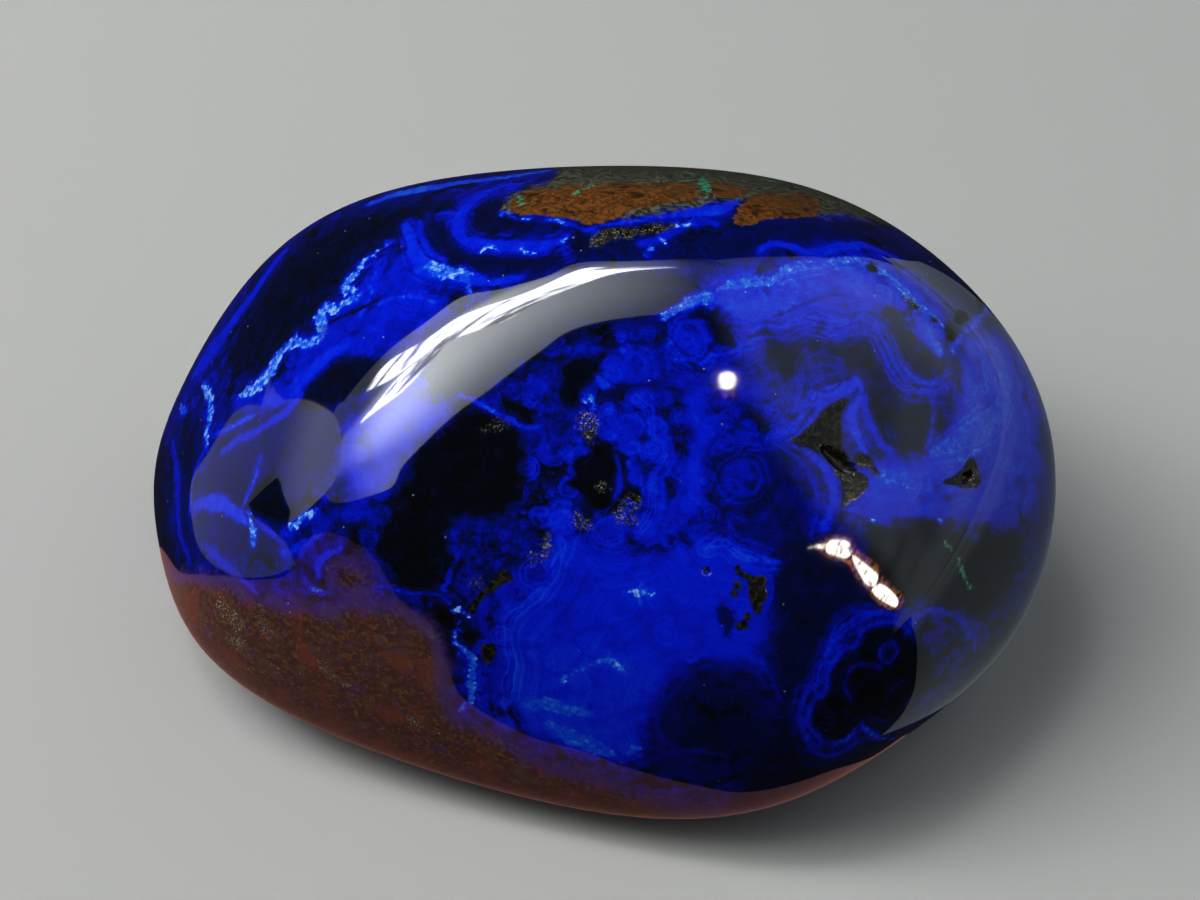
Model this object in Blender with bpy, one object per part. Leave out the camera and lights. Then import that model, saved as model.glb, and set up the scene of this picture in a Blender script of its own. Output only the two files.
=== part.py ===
"""A polished azurite palm stone, as one solid: a worn pebble of ground flats with three open pits.

Units are metres and +Z is up. The stone lies on z = 0, on the small level facet ground under it,
with its length along X and its broad polished face turned up and forward, towards -Y. The origin is
below the middle of the stone, at the bottom centre of its box.
"""

from math import cos, radians, sin

import bmesh
import bpy
from mathutils import Matrix, Vector

MM = 0.001

# The flats that the lapidary ground before rounding the stone over. Each is a name, the azimuth and
# the elevation of its outward direction in degrees, and its distance in mm from the heart of the stone.
GROUND_FLATS = (
    ("broad face", -90, 55, 17.5),
    ("upper left slope", 160, 45, 34.5),
    ("shoulder", 120, 70, 27.5),
    ("top", 90, 45, 27.0),
    ("right end", 0, 25, 42.5),
    ("left end", -175, 25, 31.0),
    ("lower left slope", -160, 55, 24.0),
    ("front", -105, 10, 20.0),
    ("back", 105, -10, 31.0),
    ("underside", 0, -90, 16.5),
    ("back left", 120, -30, 66.0),
    ("back right", 40, -30, 28.0),
    ("front right", -40, 20, 30.5),
    ("front left, low", -140, -40, 32.5),
    ("front right, low", -55, -25, 30.5),
    ("upper right", 35, 50, 30.0),
)
# How tightly one flat turns into the next: 2 rounds them into a ball, and 20 leaves crisp corners.
CORNER_TIGHTNESS = 6.5
BALL_SUBDIVISIONS = 5  # an icosphere of 5120 faces, about 2 mm each on this stone
RESTING_GRIND_MM = 0.15  # ground level off the rounded underside, which leaves a facet of 37 x 29 mm

# The open pits in the polish. Each is a name, the azimuth and elevation of its place as seen from
# the heart in degrees, its length, width and depth in mm, and the turn of its length in degrees from
# the level direction in the surface.
PITS = (
    ("slit_pit", -27.7, 36.0, 3.2, 1.1, 1.0, -50),
    ("round_pit", -16.4, 21.1, 1.2, 0.9, 0.8, 0),
    ("pin_pit", -64.2, 28.6, 0.6, 0.6, 0.5, 0),
)
PIT_SUBDIVISIONS = 3
SHARP_EDGE = radians(30)  # only the rims of the pits and the resting facet turn more than this

AZURITE_BLUE = (0.004, 0.012, 0.24, 1.0)
POLISH_ROUGHNESS = 0.06
UP = Vector((0, 0, 1))


def direction(azimuth, elevation):
    """The unit vector that looks out from the heart at these two angles in degrees."""
    turn, rise = radians(azimuth), radians(elevation)
    return Vector((cos(rise) * cos(turn), cos(rise) * sin(turn), sin(rise)))


FLATS = [(direction(azimuth, rise), away) for _, azimuth, rise, away in GROUND_FLATS]


def radius(outward):
    """The distance in mm from the heart to the surface, along a unit vector.

    A flat alone gives away / cos(angle). The sum of powers blends all the flats that face this way
    into one smooth, everywhere convex surface that lies just inside them.
    """
    reached = sum(max(0.0, outward.dot(flat) / away) ** CORNER_TIGHTNESS for flat, away in FLATS)
    return reached ** (-1 / CORNER_TIGHTNESS)


def surface_point(outward):
    return outward * radius(outward) * MM


def surface_normal(outward):
    """The outward direction of the surface there: the flats' own directions, weighted as they blend."""
    pull = Vector()
    for flat, away in FLATS:
        pull += flat * (max(0.0, outward.dot(flat) / away) ** (CORNER_TIGHTNESS - 1) / away)
    return pull.normalized()


def clear_scene():
    for old in list(bpy.data.objects):
        bpy.data.objects.remove(old)


def polished_material():
    """Wet-looking blue stone; metallic stays 0, because azurite is a carbonate."""
    material = bpy.data.materials.new("polished_azurite")
    material.use_nodes = True
    shader = material.node_tree.nodes["Principled BSDF"]
    shader.inputs["Base Color"].default_value = AZURITE_BLUE
    shader.inputs["Roughness"].default_value = POLISH_ROUGHNESS
    shader.inputs["Metallic"].default_value = 0.0
    return material


def add_object(name, shape):
    """A new object in the scene from a bmesh, which is freed."""
    mesh = bpy.data.meshes.new(name)
    shape.to_mesh(mesh)
    shape.free()
    made = bpy.data.objects.new(name, mesh)
    bpy.context.scene.collection.objects.link(made)
    return made


def rounded_stone():
    """The stone's bmesh about its heart: a ball pushed out to the ground flats, with a level foot."""
    shape = bmesh.new()
    bmesh.ops.create_icosphere(shape, subdivisions=BALL_SUBDIVISIONS, radius=1.0)
    for vert in shape.verts:
        vert.co = surface_point(vert.co.normalized())
    foot = min(vert.co.z for vert in shape.verts) + RESTING_GRIND_MM * MM
    everything = shape.verts[:] + shape.edges[:] + shape.faces[:]
    cut = bmesh.ops.bisect_plane(
        shape, geom=everything, plane_co=(0, 0, foot), plane_no=UP, clear_inner=True
    )
    rim = [part for part in cut["geom_cut"] if isinstance(part, bmesh.types.BMEdge)]
    bmesh.ops.contextual_create(shape, geom=rim)
    bmesh.ops.recalc_face_normals(shape, faces=shape.faces[:])
    return shape


def seat_at_origin(shape):
    """Moves the stone so that the middle of its box's bottom is the origin, and returns the move."""
    low = Vector(min(vert.co[axis] for vert in shape.verts) for axis in range(3))
    high = Vector(max(vert.co[axis] for vert in shape.verts) for axis in range(3))
    move = Vector((-(low.x + high.x) / 2, -(low.y + high.y) / 2, -low.z))
    bmesh.ops.translate(shape, verts=shape.verts[:], vec=move)
    return move


def pit_cutter(name, azimuth, elevation, length, width, depth, turn, heart):
    """A half-sunk ellipsoid whose length lies in the surface, turned from the level direction."""
    outward = direction(azimuth, elevation)
    normal = surface_normal(outward)
    level = UP.cross(normal).normalized()
    axes = Matrix((level, normal.cross(level), normal)).transposed()
    place = Matrix.Translation(heart + surface_point(outward)) @ axes.to_4x4()
    size = Matrix.Diagonal((length / 2 * MM, width / 2 * MM, depth * MM, 1))
    shape = bmesh.new()
    bmesh.ops.create_icosphere(shape, subdivisions=PIT_SUBDIVISIONS, radius=1.0)
    bmesh.ops.transform(
        shape, verts=shape.verts[:], matrix=place @ Matrix.Rotation(radians(turn), 4, "Z") @ size
    )
    cutter = add_object(name, shape)
    cutter.hide_render = True
    cutter.display_type = "WIRE"
    return cutter


def build():
    clear_scene()
    shape = rounded_stone()
    heart = seat_at_origin(shape)
    stone = add_object("azurite_stone", shape)
    stone.data.materials.append(polished_material())
    for name, *sizes in PITS:
        cutter = pit_cutter(name, *sizes, heart)
        opening = stone.modifiers.new(name, "BOOLEAN")
        opening.operation = "DIFFERENCE"
        opening.object = cutter
    depsgraph = bpy.context.evaluated_depsgraph_get()
    stone.data = bpy.data.meshes.new_from_object(stone.evaluated_get(depsgraph))
    stone.data.name = stone.name
    stone.modifiers.clear()
    stone.data.shade_smooth()
    stone.data.set_sharp_from_angle(angle=SHARP_EDGE)


build()
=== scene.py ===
# %% [markdown]
# # A polished azurite palm stone
#
# The real thing is one worn lump of azurite, ground to a smooth egg and polished until it mirrors
# a lamp. All of its drama is in the rock: near-black and ultramarine growth bands that wrap round
# little knobs, bright veins, brown matrix along two sides and a few crumbs of green malachite.
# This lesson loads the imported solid, makes one dense mesh of the same form, writes the map of the
# rock onto it as distances in millimetres, and lets shader nodes turn those distances into stone.

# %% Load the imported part
from math import atan

import bmesh
import bpy
import numpy as np
from mathutils import Matrix, Quaternion, Vector, noise


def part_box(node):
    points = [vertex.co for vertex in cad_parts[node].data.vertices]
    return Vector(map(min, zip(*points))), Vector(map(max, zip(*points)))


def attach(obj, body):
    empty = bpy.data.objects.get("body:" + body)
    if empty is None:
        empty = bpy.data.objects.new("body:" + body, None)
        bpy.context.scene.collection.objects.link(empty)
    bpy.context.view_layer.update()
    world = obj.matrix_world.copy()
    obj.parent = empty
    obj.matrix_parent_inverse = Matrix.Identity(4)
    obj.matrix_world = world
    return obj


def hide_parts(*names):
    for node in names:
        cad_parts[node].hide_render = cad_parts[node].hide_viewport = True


MM = 0.001
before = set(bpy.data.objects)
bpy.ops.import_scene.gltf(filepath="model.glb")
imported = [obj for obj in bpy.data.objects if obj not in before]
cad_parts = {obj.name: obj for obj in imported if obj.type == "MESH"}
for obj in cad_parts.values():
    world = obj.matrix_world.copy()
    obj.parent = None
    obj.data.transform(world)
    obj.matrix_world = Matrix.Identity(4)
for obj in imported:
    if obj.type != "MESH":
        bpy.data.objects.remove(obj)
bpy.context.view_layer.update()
stone_low, stone_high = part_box("azurite_stone")
print("packed stone, mm:", [round(side / MM, 1) for side in stone_high - stone_low])

# %% [markdown]
# ## The form
#
# A palm stone starts as a few flats ground on a wheel, which are then rounded into each other. The
# solid was built the same way: each flat has a direction and a distance from the heart of the
# stone, and a power sum blends them. Repeating that rule here gives a mesh as dense as the markings
# need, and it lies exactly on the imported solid.

# %% The ground flats
GROUND_FLATS = (  # azimuth and elevation of the outward direction in degrees, distance in mm
    (-90, 55, 17.5),
    (160, 45, 34.5),
    (120, 70, 27.5),
    (90, 45, 27.0),
    (0, 25, 42.5),
    (-175, 25, 31.0),
    (-160, 55, 24.0),
    (-105, 10, 20.0),
    (105, -10, 31.0),
    (0, -90, 16.5),
    (120, -30, 66.0),
    (40, -30, 28.0),
    (-40, 20, 30.5),
    (-140, -40, 32.5),
    (-55, -25, 30.5),
    (35, 50, 30.0),
)
CORNER_TIGHTNESS = 6.5
RESTING_GRIND = 0.15  # mm, ground level off the rounded underside


def directions(azimuth, elevation):
    """Unit vectors, one row each, from angles in degrees."""
    turn, rise = np.broadcast_arrays(np.radians(azimuth), np.radians(elevation))
    return np.stack([np.cos(rise) * np.cos(turn), np.cos(rise) * np.sin(turn), np.sin(rise)], -1)


flat_angles = np.array(GROUND_FLATS)
flat_pulls = directions(flat_angles[:, 0], flat_angles[:, 1]) / flat_angles[:, 2:]


def gauge(points):
    """1 on the surface, less inside and more outside; points are mm from the heart."""
    reach = np.maximum(0, points @ flat_pulls.T)
    return (reach**CORNER_TIGHTNESS).sum(-1) ** (1 / CORNER_TIGHTNESS)


def onto_surface(points):
    """Each point moved along its line from the heart until it lies on the stone."""
    return points / gauge(points)[..., None]


def normals_at(points):
    """The outward direction of the rounded surface at each point."""
    reach = np.maximum(0, points @ flat_pulls.T)
    pull = reach ** (CORNER_TIGHTNESS - 1) @ flat_pulls
    return pull / np.linalg.norm(pull, axis=-1, keepdims=True)


print("ground flats:", len(GROUND_FLATS))

# %% [markdown]
# ## Three open vugs
#
# Polishing opened three little cavities in the top. Each is the lower half of an ellipsoid, sunk
# into the surface. The mesh follows them by moving points down along the outward direction, so the
# skin stays one closed sheet, and a little noise gives the walls the crystals that line a vug.

# %% Sink the vugs
VUGS = (  # name, azimuth, elevation, length, width and depth in mm, turn from the level in degrees
    ("slit", -27.7, 36.0, 3.2, 1.1, 1.0, -50),
    ("round", -16.4, 21.1, 1.2, 0.9, 0.8, 0),
    ("pin", -64.2, 28.6, 0.6, 0.6, 0.5, 0),
)
CRYSTAL_SIZE = 0.35  # mm, of the crystals on the walls


def vug_shares(points):
    """For points on the surface: how far down they sink in mm, and mm inside the nearest rim."""
    sink, inside = np.zeros(len(points)), np.full(len(points), -6.0)
    for _, azimuth, elevation, length, width, depth, turn in VUGS:
        middle = onto_surface(directions(azimuth, elevation))
        outward = normals_at(middle)
        level = np.cross((0, 0, 1), outward)
        level /= np.linalg.norm(level)
        rising = np.cross(outward, level)
        swing = np.radians(turn)
        off = points - middle
        across, up = off @ level, off @ rising
        along = (across * np.cos(swing) + up * np.sin(swing)) / (length / 2)
        aside = (up * np.cos(swing) - across * np.sin(swing)) / (width / 2)
        out = np.hypot(along, aside) + 9 * (off @ outward < -3)
        sink = np.maximum(sink, depth * np.sqrt(np.clip(1 - out**2, 0, 1)))
        inside = np.maximum(inside, (1 - out) * width / 2)
    return sink, inside


print("vugs:", ", ".join(name for name, *_ in VUGS))

# %% [markdown]
# ## The camera
#
# The camera comes before the markings, because each marking is placed by the line of sight on
# which it lies. It looks down at 50 degrees on the broad face, from 23 centimetres away, so that
# the far side looks a little smaller than the near one.

# %% Place the camera
PICTURE = (1200, 900)  # pixels of the frame in which the markings are placed
HEART_PIXEL = (603, 490)
PIXELS_PER_MM = 12.5  # at the depth of the heart
CAMERA_AWAY = 230.0  # mm
CAMERA_ELEVATION = 50.0
SENSOR = 36.0  # mm across

probe = directions(np.linspace(0, 360, 721)[:, None], np.linspace(-90, 90, 361)[None, :])
probe = onto_surface(probe.reshape(-1, 3))
probe_low, probe_high = probe.min(0), probe.max(0)
heart = Vector(
    (
        (stone_low.x + stone_high.x) / 2 - (probe_low[0] + probe_high[0]) / 2 * MM,
        (stone_low.y + stone_high.y) / 2 - (probe_low[1] + probe_high[1]) / 2 * MM,
        stone_low.z - (probe_low[2] + RESTING_GRIND) * MM,
    )
)
FOOT = float(probe_low[2]) + RESTING_GRIND  # height of the resting facet, mm from the heart
print("heart of the stone, mm:", [round(value / MM, 2) for value in heart])

focal_pixels = PIXELS_PER_MM * CAMERA_AWAY
toward_camera = Vector(directions(-90.0, CAMERA_ELEVATION))
camera_data = bpy.data.cameras.new("camera")
camera_data.sensor_width = SENSOR
camera_data.lens = focal_pixels * SENSOR / PICTURE[0]
camera_data.clip_start = 0.01
camera = bpy.data.objects.new("camera", camera_data)
bpy.context.scene.collection.objects.link(camera)
bpy.context.scene.camera = camera
camera.location = heart + toward_camera * CAMERA_AWAY * MM
straight = toward_camera.to_track_quat("Z", "Y")
aside = atan((HEART_PIXEL[0] - PICTURE[0] / 2) / focal_pixels)
below = atan((HEART_PIXEL[1] - PICTURE[1] / 2) / focal_pixels)
camera.rotation_mode = "QUATERNION"
camera.rotation_quaternion = straight @ Quaternion((1, 0, 0), below) @ Quaternion((0, 1, 0), aside)
bpy.context.view_layer.update()
print("lens, mm:", round(camera_data.lens, 1))

# %% [markdown]
# ## From a pixel to the stone and back
#
# The markings of the broad face are drawn through the camera, so their corners are pixels of a frame 1200
# wide and 900 high. A line of sight through a pixel meets the stone at one point, and from there on every
# distance is a real one in millimetres.

# %% Sight lines
view_turn = np.array(camera.rotation_quaternion.to_matrix())
eye = np.array(camera.location - heart) / MM
SIGHT_STEPS = np.arange(CAMERA_AWAY - 60, CAMERA_AWAY + 60, 1.0)


def seen_at(pixels):
    """The points of the stone, mm from the heart, that the camera sees at these pixels."""
    pixels = np.asarray(pixels, float).reshape(-1, 2)
    aim = np.stack(
        [
            (pixels[:, 0] - PICTURE[0] / 2) / focal_pixels,
            (PICTURE[1] / 2 - pixels[:, 1]) / focal_pixels,
            -np.ones(len(pixels)),
        ],
        -1,
    )
    sight = aim @ view_turn.T
    sight /= np.linalg.norm(sight, axis=1, keepdims=True)
    levels = gauge(eye + SIGHT_STEPS[:, None, None] * sight)
    nearest = levels.argmin(0)
    first = np.where(levels.min(0) < 1, np.argmax(levels < 1, 0), nearest)
    near, far = SIGHT_STEPS[first - 1], SIGHT_STEPS[first]
    for _ in range(20):
        middle = (near + far) / 2
        inside = gauge(eye + middle[:, None] * sight) < 1
        near, far = np.where(inside, near, middle), np.where(inside, middle, far)
    return onto_surface(eye + far[:, None] * sight)


def pixels_of(where):
    """The pixel at which the camera sees each point."""
    local = (where - eye) @ view_turn
    depth = -local[:, 2]
    across = PICTURE[0] / 2 + focal_pixels * local[:, 0] / depth
    return np.stack([across, PICTURE[1] / 2 - focal_pixels * local[:, 1] / depth], -1)


print("the heart is seen at:", pixels_of(np.zeros((1, 3)))[0].round(1))

# %% [markdown]
# ## The map of the rock
#
# Azurite darkens with the size of its crystals: fine fibres look bright blue, and coarse massive
# azurite looks black. One number, the tone, stands for that: 0 is black, 0.6 the ultramarine field
# and 1 the palest vein. Unruly rock is cracked and mottled, and calm rock is even. Four lists of
# marks build the tone up, from soft washes to patches and fine lines. An area is a closed outline,
# and a run is a line whose third number is its width.

# %% Soft washes of tone: name, tone, how unruly the rock is, softness in mm, outline
WASHES = (
    ("bright field", 0.57, 0.2, 1.6, (
        (520, 560), (560, 528), (600, 548), (660, 552), (700, 538), (755, 560), (772, 600), (755, 650),
        (735, 662), (690, 668), (662, 695), (645, 725), (630, 760), (580, 752), (530, 735), (505, 700),
        (500, 650), (510, 605))),
    ("bright field, low", 0.63, 0.2, 2.0, (
        (520, 640), (600, 640), (650, 660), (655, 700), (632, 745), (580, 745), (530, 728), (508, 700))),
    ("under the left veil", 0.3, 0.15, 1.6, (
        (195, 420), (240, 395), (300, 392), (345, 420), (335, 470), (300, 500), (290, 545), (250, 560),
        (200, 540), (185, 470))),
    ("upper left slope", 0.5, 0.5, 1.0, (
        (222, 398), (262, 392), (300, 350), (335, 312), (372, 262), (402, 235), (430, 272), (460, 300),
        (420, 335), (385, 357), (340, 357), (310, 385), (285, 405), (250, 410))),
    ("loops", 0.4, 0.7, 1.2, (
        (395, 235), (430, 205), (470, 190), (520, 186), (560, 215), (600, 232), (575, 262), (520, 282),
        (470, 305), (440, 300))),
    ("left rim", 0.36, 0.4, 1.2, (
        (160, 470), (170, 410), (200, 360), (235, 320), (225, 395), (215, 450), (200, 480), (200, 560),
        (180, 570))),
    ("upper right slope", 0.67, 0.7, 2.0, (
        (690, 300), (730, 275), (790, 262), (870, 256), (920, 280), (945, 330), (920, 350), (880, 312),
        (820, 312), (760, 325), (700, 325))),
    ("scallops", 0.42, 0.7, 1.6, (
        (700, 322), (760, 322), (820, 312), (880, 312), (905, 355), (930, 385), (880, 390), (840, 405),
        (780, 440), (700, 445), (690, 380))),
    ("right cheek", 0.67, 0.6, 2.2, (
        (958, 345), (1000, 330), (1030, 380), (1040, 440), (1040, 500), (1000, 522), (940, 515),
        (880, 522), (850, 505), (880, 462), (935, 452), (960, 400))),
    ("heart of the face", 0.44, 0.8, 1.6, (
        (560, 345), (620, 325), (680, 330), (740, 350), (720, 420), (705, 500), (690, 540), (640, 545),
        (600, 552), (560, 530), (540, 500), (560, 440), (600, 400))),
    ("blue grid", 0.4, 1.0, 1.6, (
        (520, 375), (560, 350), (600, 350), (600, 420), (560, 450), (560, 510), (530, 520), (515, 470),
        (545, 430), (515, 410))),
    ("lower left blue", 0.3, 1.0, 1.4, (
        (440, 520), (500, 505), (545, 515), (540, 570), (500, 590), (470, 640), (450, 610), (435, 590),
        (450, 560))),
    ("below the veil", 0.42, 0.6, 1.6, (
        (300, 515), (330, 500), (390, 480), (385, 510), (372, 530), (330, 532), (300, 560), (285, 555))),
    ("contour bands", 0.46, 1.0, 1.2, (
        (470, 600), (500, 580), (545, 575), (520, 610), (508, 650), (512, 700), (520, 730), (480, 715),
        (478, 660), (470, 620))),
    ("low right of the field", 0.27, 0.4, 2.0, (
        (660, 700), (690, 668), (740, 664), (775, 690), (790, 740), (760, 780), (690, 780), (640, 765))),
    ("dark eye", 0.17, 0.3, 2.2, (
        (680, 715), (700, 690), (730, 685), (755, 705), (758, 740), (735, 760), (700, 762), (680, 745))),
    ("bright rock left of the black", 0.64, 0.5, 1.4, (
        (340, 440), (352, 420), (376, 408), (400, 388), (430, 372), (462, 372), (470, 392), (452, 412),
        (430, 430), (404, 452), (386, 482), (362, 496), (346, 478))),
    ("blue lens", 0.54, 0.25, 0.9, (
        (345, 345), (375, 318), (400, 305), (430, 302), (424, 322), (398, 342), (362, 358))),
    ("outer bright band", 0.62, 0.2, 0.9, (
        (686, 392), (700, 392), (708, 420), (708, 450), (700, 480), (694, 510), (682, 508), (684, 480),
        (690, 450), (690, 420))),
    ("navy disc", 0.3, 0.3, 1.8, (
        (745, 470), (765, 450), (795, 460), (812, 490), (812, 525), (790, 545), (760, 540), (745, 510))),
)
print("washes:", len(WASHES))

# %% Patches: name, tone, how gently the edge fades (1 is crisp), outline
PATCHES = (
    ("rock under the haze", 0.16, 2.2, (
        (425, 368), (440, 345), (470, 312), (510, 290), (550, 280), (590, 272), (640, 272), (690, 280),
        (688, 300), (650, 315), (600, 325), (550, 345), (505, 372), (470, 400), (440, 398))),
    ("black crescent", 0.1, 2.4, (
        (228, 352), (240, 322), (256, 296), (282, 262), (312, 236), (348, 220), (388, 208), (430, 200),
        (450, 202), (440, 212), (425, 218), (405, 222), (396, 236), (378, 240), (362, 256), (345, 276),
        (330, 300), (312, 322), (295, 336), (280, 352), (262, 366), (248, 372), (234, 368))),
    ("black wedge", 0.1, 1.4, (
        (292, 404), (312, 384), (336, 362), (352, 360), (386, 360), (372, 378), (352, 392), (340, 404),
        (318, 408))),
    ("dark in the left loop", 0.16, 1.2, (
        (424, 218), (438, 222), (452, 234), (460, 250), (476, 254), (520, 256), (560, 258), (570, 262),
        (540, 272), (500, 272), (468, 268), (446, 266), (432, 254), (424, 240))),
    ("dark in the top loop", 0.14, 1.2, (
        (470, 226), (478, 208), (492, 198), (505, 200), (510, 214), (530, 220), (562, 222), (582, 228),
        (590, 236), (586, 258), (572, 256), (570, 240), (560, 232), (520, 232), (486, 232))),
    ("black below the matrix", 0.2, 2.2, (
        (592, 244), (612, 238), (650, 234), (676, 234), (690, 240), (720, 228), (760, 222), (830, 220),
        (868, 222), (890, 232), (912, 250), (940, 262), (962, 282), (990, 312), (1012, 340),
        (1000, 336), (970, 310), (945, 290), (920, 272), (902, 262), (884, 246), (860, 240), (820, 240),
        (800, 246), (770, 244), (750, 256), (700, 262), (668, 262), (655, 246), (640, 262), (600, 262))),
    ("black left of the face", 0.03, 1.5, (
        (392, 520), (400, 488), (430, 440), (470, 410), (500, 412), (520, 432), (522, 470), (520, 500),
        (502, 512), (470, 516), (446, 520), (446, 560), (436, 582), (420, 592), (396, 588),
        (386, 560), (378, 540))),
    ("black gap by the knob", 0.1, 0.8, (
        (704, 318), (722, 324), (737, 336), (738, 346), (732, 352), (722, 346), (708, 334))),
    ("black above the beads", 0.05, 1.2, (
        (562, 366), (578, 358), (592, 362), (590, 378), (582, 392), (578, 406), (566, 404), (560, 388))),
    ("black by the vein", 0.03, 0.9, (
        (505, 398), (516, 404), (530, 412), (535, 424), (528, 430), (514, 424), (503, 412))),
    ("black heart", 0.02, 0.7, (
        (596, 444), (606, 441), (618, 450), (628, 456), (630, 470), (624, 480), (616, 478), (612, 492),
        (610, 506), (600, 511), (588, 506), (582, 494), (572, 488), (567, 482), (574, 472), (572, 462),
        (584, 458), (590, 450))),
    ("black below the strip", 0.02, 0.6, (
        (622, 480), (632, 482), (640, 494), (638, 504), (626, 500), (618, 508), (612, 516), (600, 520),
        (608, 508), (616, 496))),
    ("grey zone", 0.1, 3.6, (
        (772, 350), (790, 344), (830, 340), (870, 342), (884, 366), (876, 386), (858, 372), (820, 358),
        (800, 362), (790, 376), (774, 370))),
    ("grey bay", 0.08, 3.2, (
        (868, 392), (880, 384), (896, 396), (908, 410), (928, 404), (932, 426), (924, 446), (904, 446),
        (886, 432), (874, 416))),
    ("grey bay above", 0.12, 3.6, (
        (884, 312), (900, 308), (916, 334), (924, 350), (944, 358), (948, 372), (936, 380), (920, 378),
        (906, 368), (896, 344))),
    ("olive shade by the knob", 0.1, 1.0, (
        (688, 308), (700, 304), (716, 312), (712, 320), (700, 320), (686, 318))),
    ("black bay on the right", 0.04, 1.3, (
        (866, 530), (880, 524), (902, 528), (924, 520), (944, 524), (956, 534), (976, 542), (1002, 534),
        (1024, 540), (1016, 572), (1000, 600), (980, 614), (956, 610), (930, 602), (902, 600),
        (884, 590), (872, 566))),
    ("black band down the middle", 0.13, 2.6, (
        (782, 556), (800, 540), (822, 546), (850, 562), (872, 590), (880, 604), (850, 606), (836, 622),
        (820, 648), (812, 672), (800, 692), (792, 712), (778, 700), (770, 672), (780, 640), (776, 600))),
    ("black in the lower loop", 0.06, 1.0, (
        (824, 694), (834, 678), (838, 660), (860, 646), (868, 630), (890, 626), (906, 636), (926, 650),
        (934, 670), (920, 700), (900, 722), (872, 728), (856, 722), (842, 738), (822, 738), (812, 722),
        (814, 704))),
    ("black by the low rim", 0.12, 2.4, (
        (770, 740), (795, 720), (802, 745), (830, 756), (870, 742), (910, 732), (950, 700), (985, 650),
        (1010, 620), (1030, 580), (1040, 600), (1000, 680), (900, 760), (800, 800), (740, 810),
        (745, 780))),
    ("dark rim, far right", 0.3, 1.6, (
        (1040, 420), (1060, 440), (1060, 520), (1045, 580), (1020, 620), (1016, 600), (1034, 560),
        (1042, 500), (1042, 460))),
    ("black strip by the left rim", 0.14, 1.6, (
        (180, 430), (194, 420), (196, 450), (188, 480), (188, 520), (192, 560), (184, 556), (182, 510),
        (182, 470))),
    ("outermost left rim", 0.12, 1.6, (
        (150, 480), (164, 440), (168, 470), (166, 510), (174, 550), (190, 572), (176, 580), (150, 520))),
    ("pocket by the left vein", 0.06, 1.1, (
        (244, 506), (252, 494), (262, 478), (276, 474), (282, 486), (288, 506), (298, 516), (288, 524),
        (272, 520), (256, 514))),
    ("dark left of the contour bands", 0.02, 1.6, (
        (444, 600), (462, 606), (470, 616), (470, 640), (462, 640), (450, 660), (440, 640), (430, 616))),
    ("teal shade", 0.2, 1.2, (
        (718, 612), (728, 608), (733, 622), (731, 636), (722, 630))),
)
print("patches:", len(PATCHES))

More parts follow.
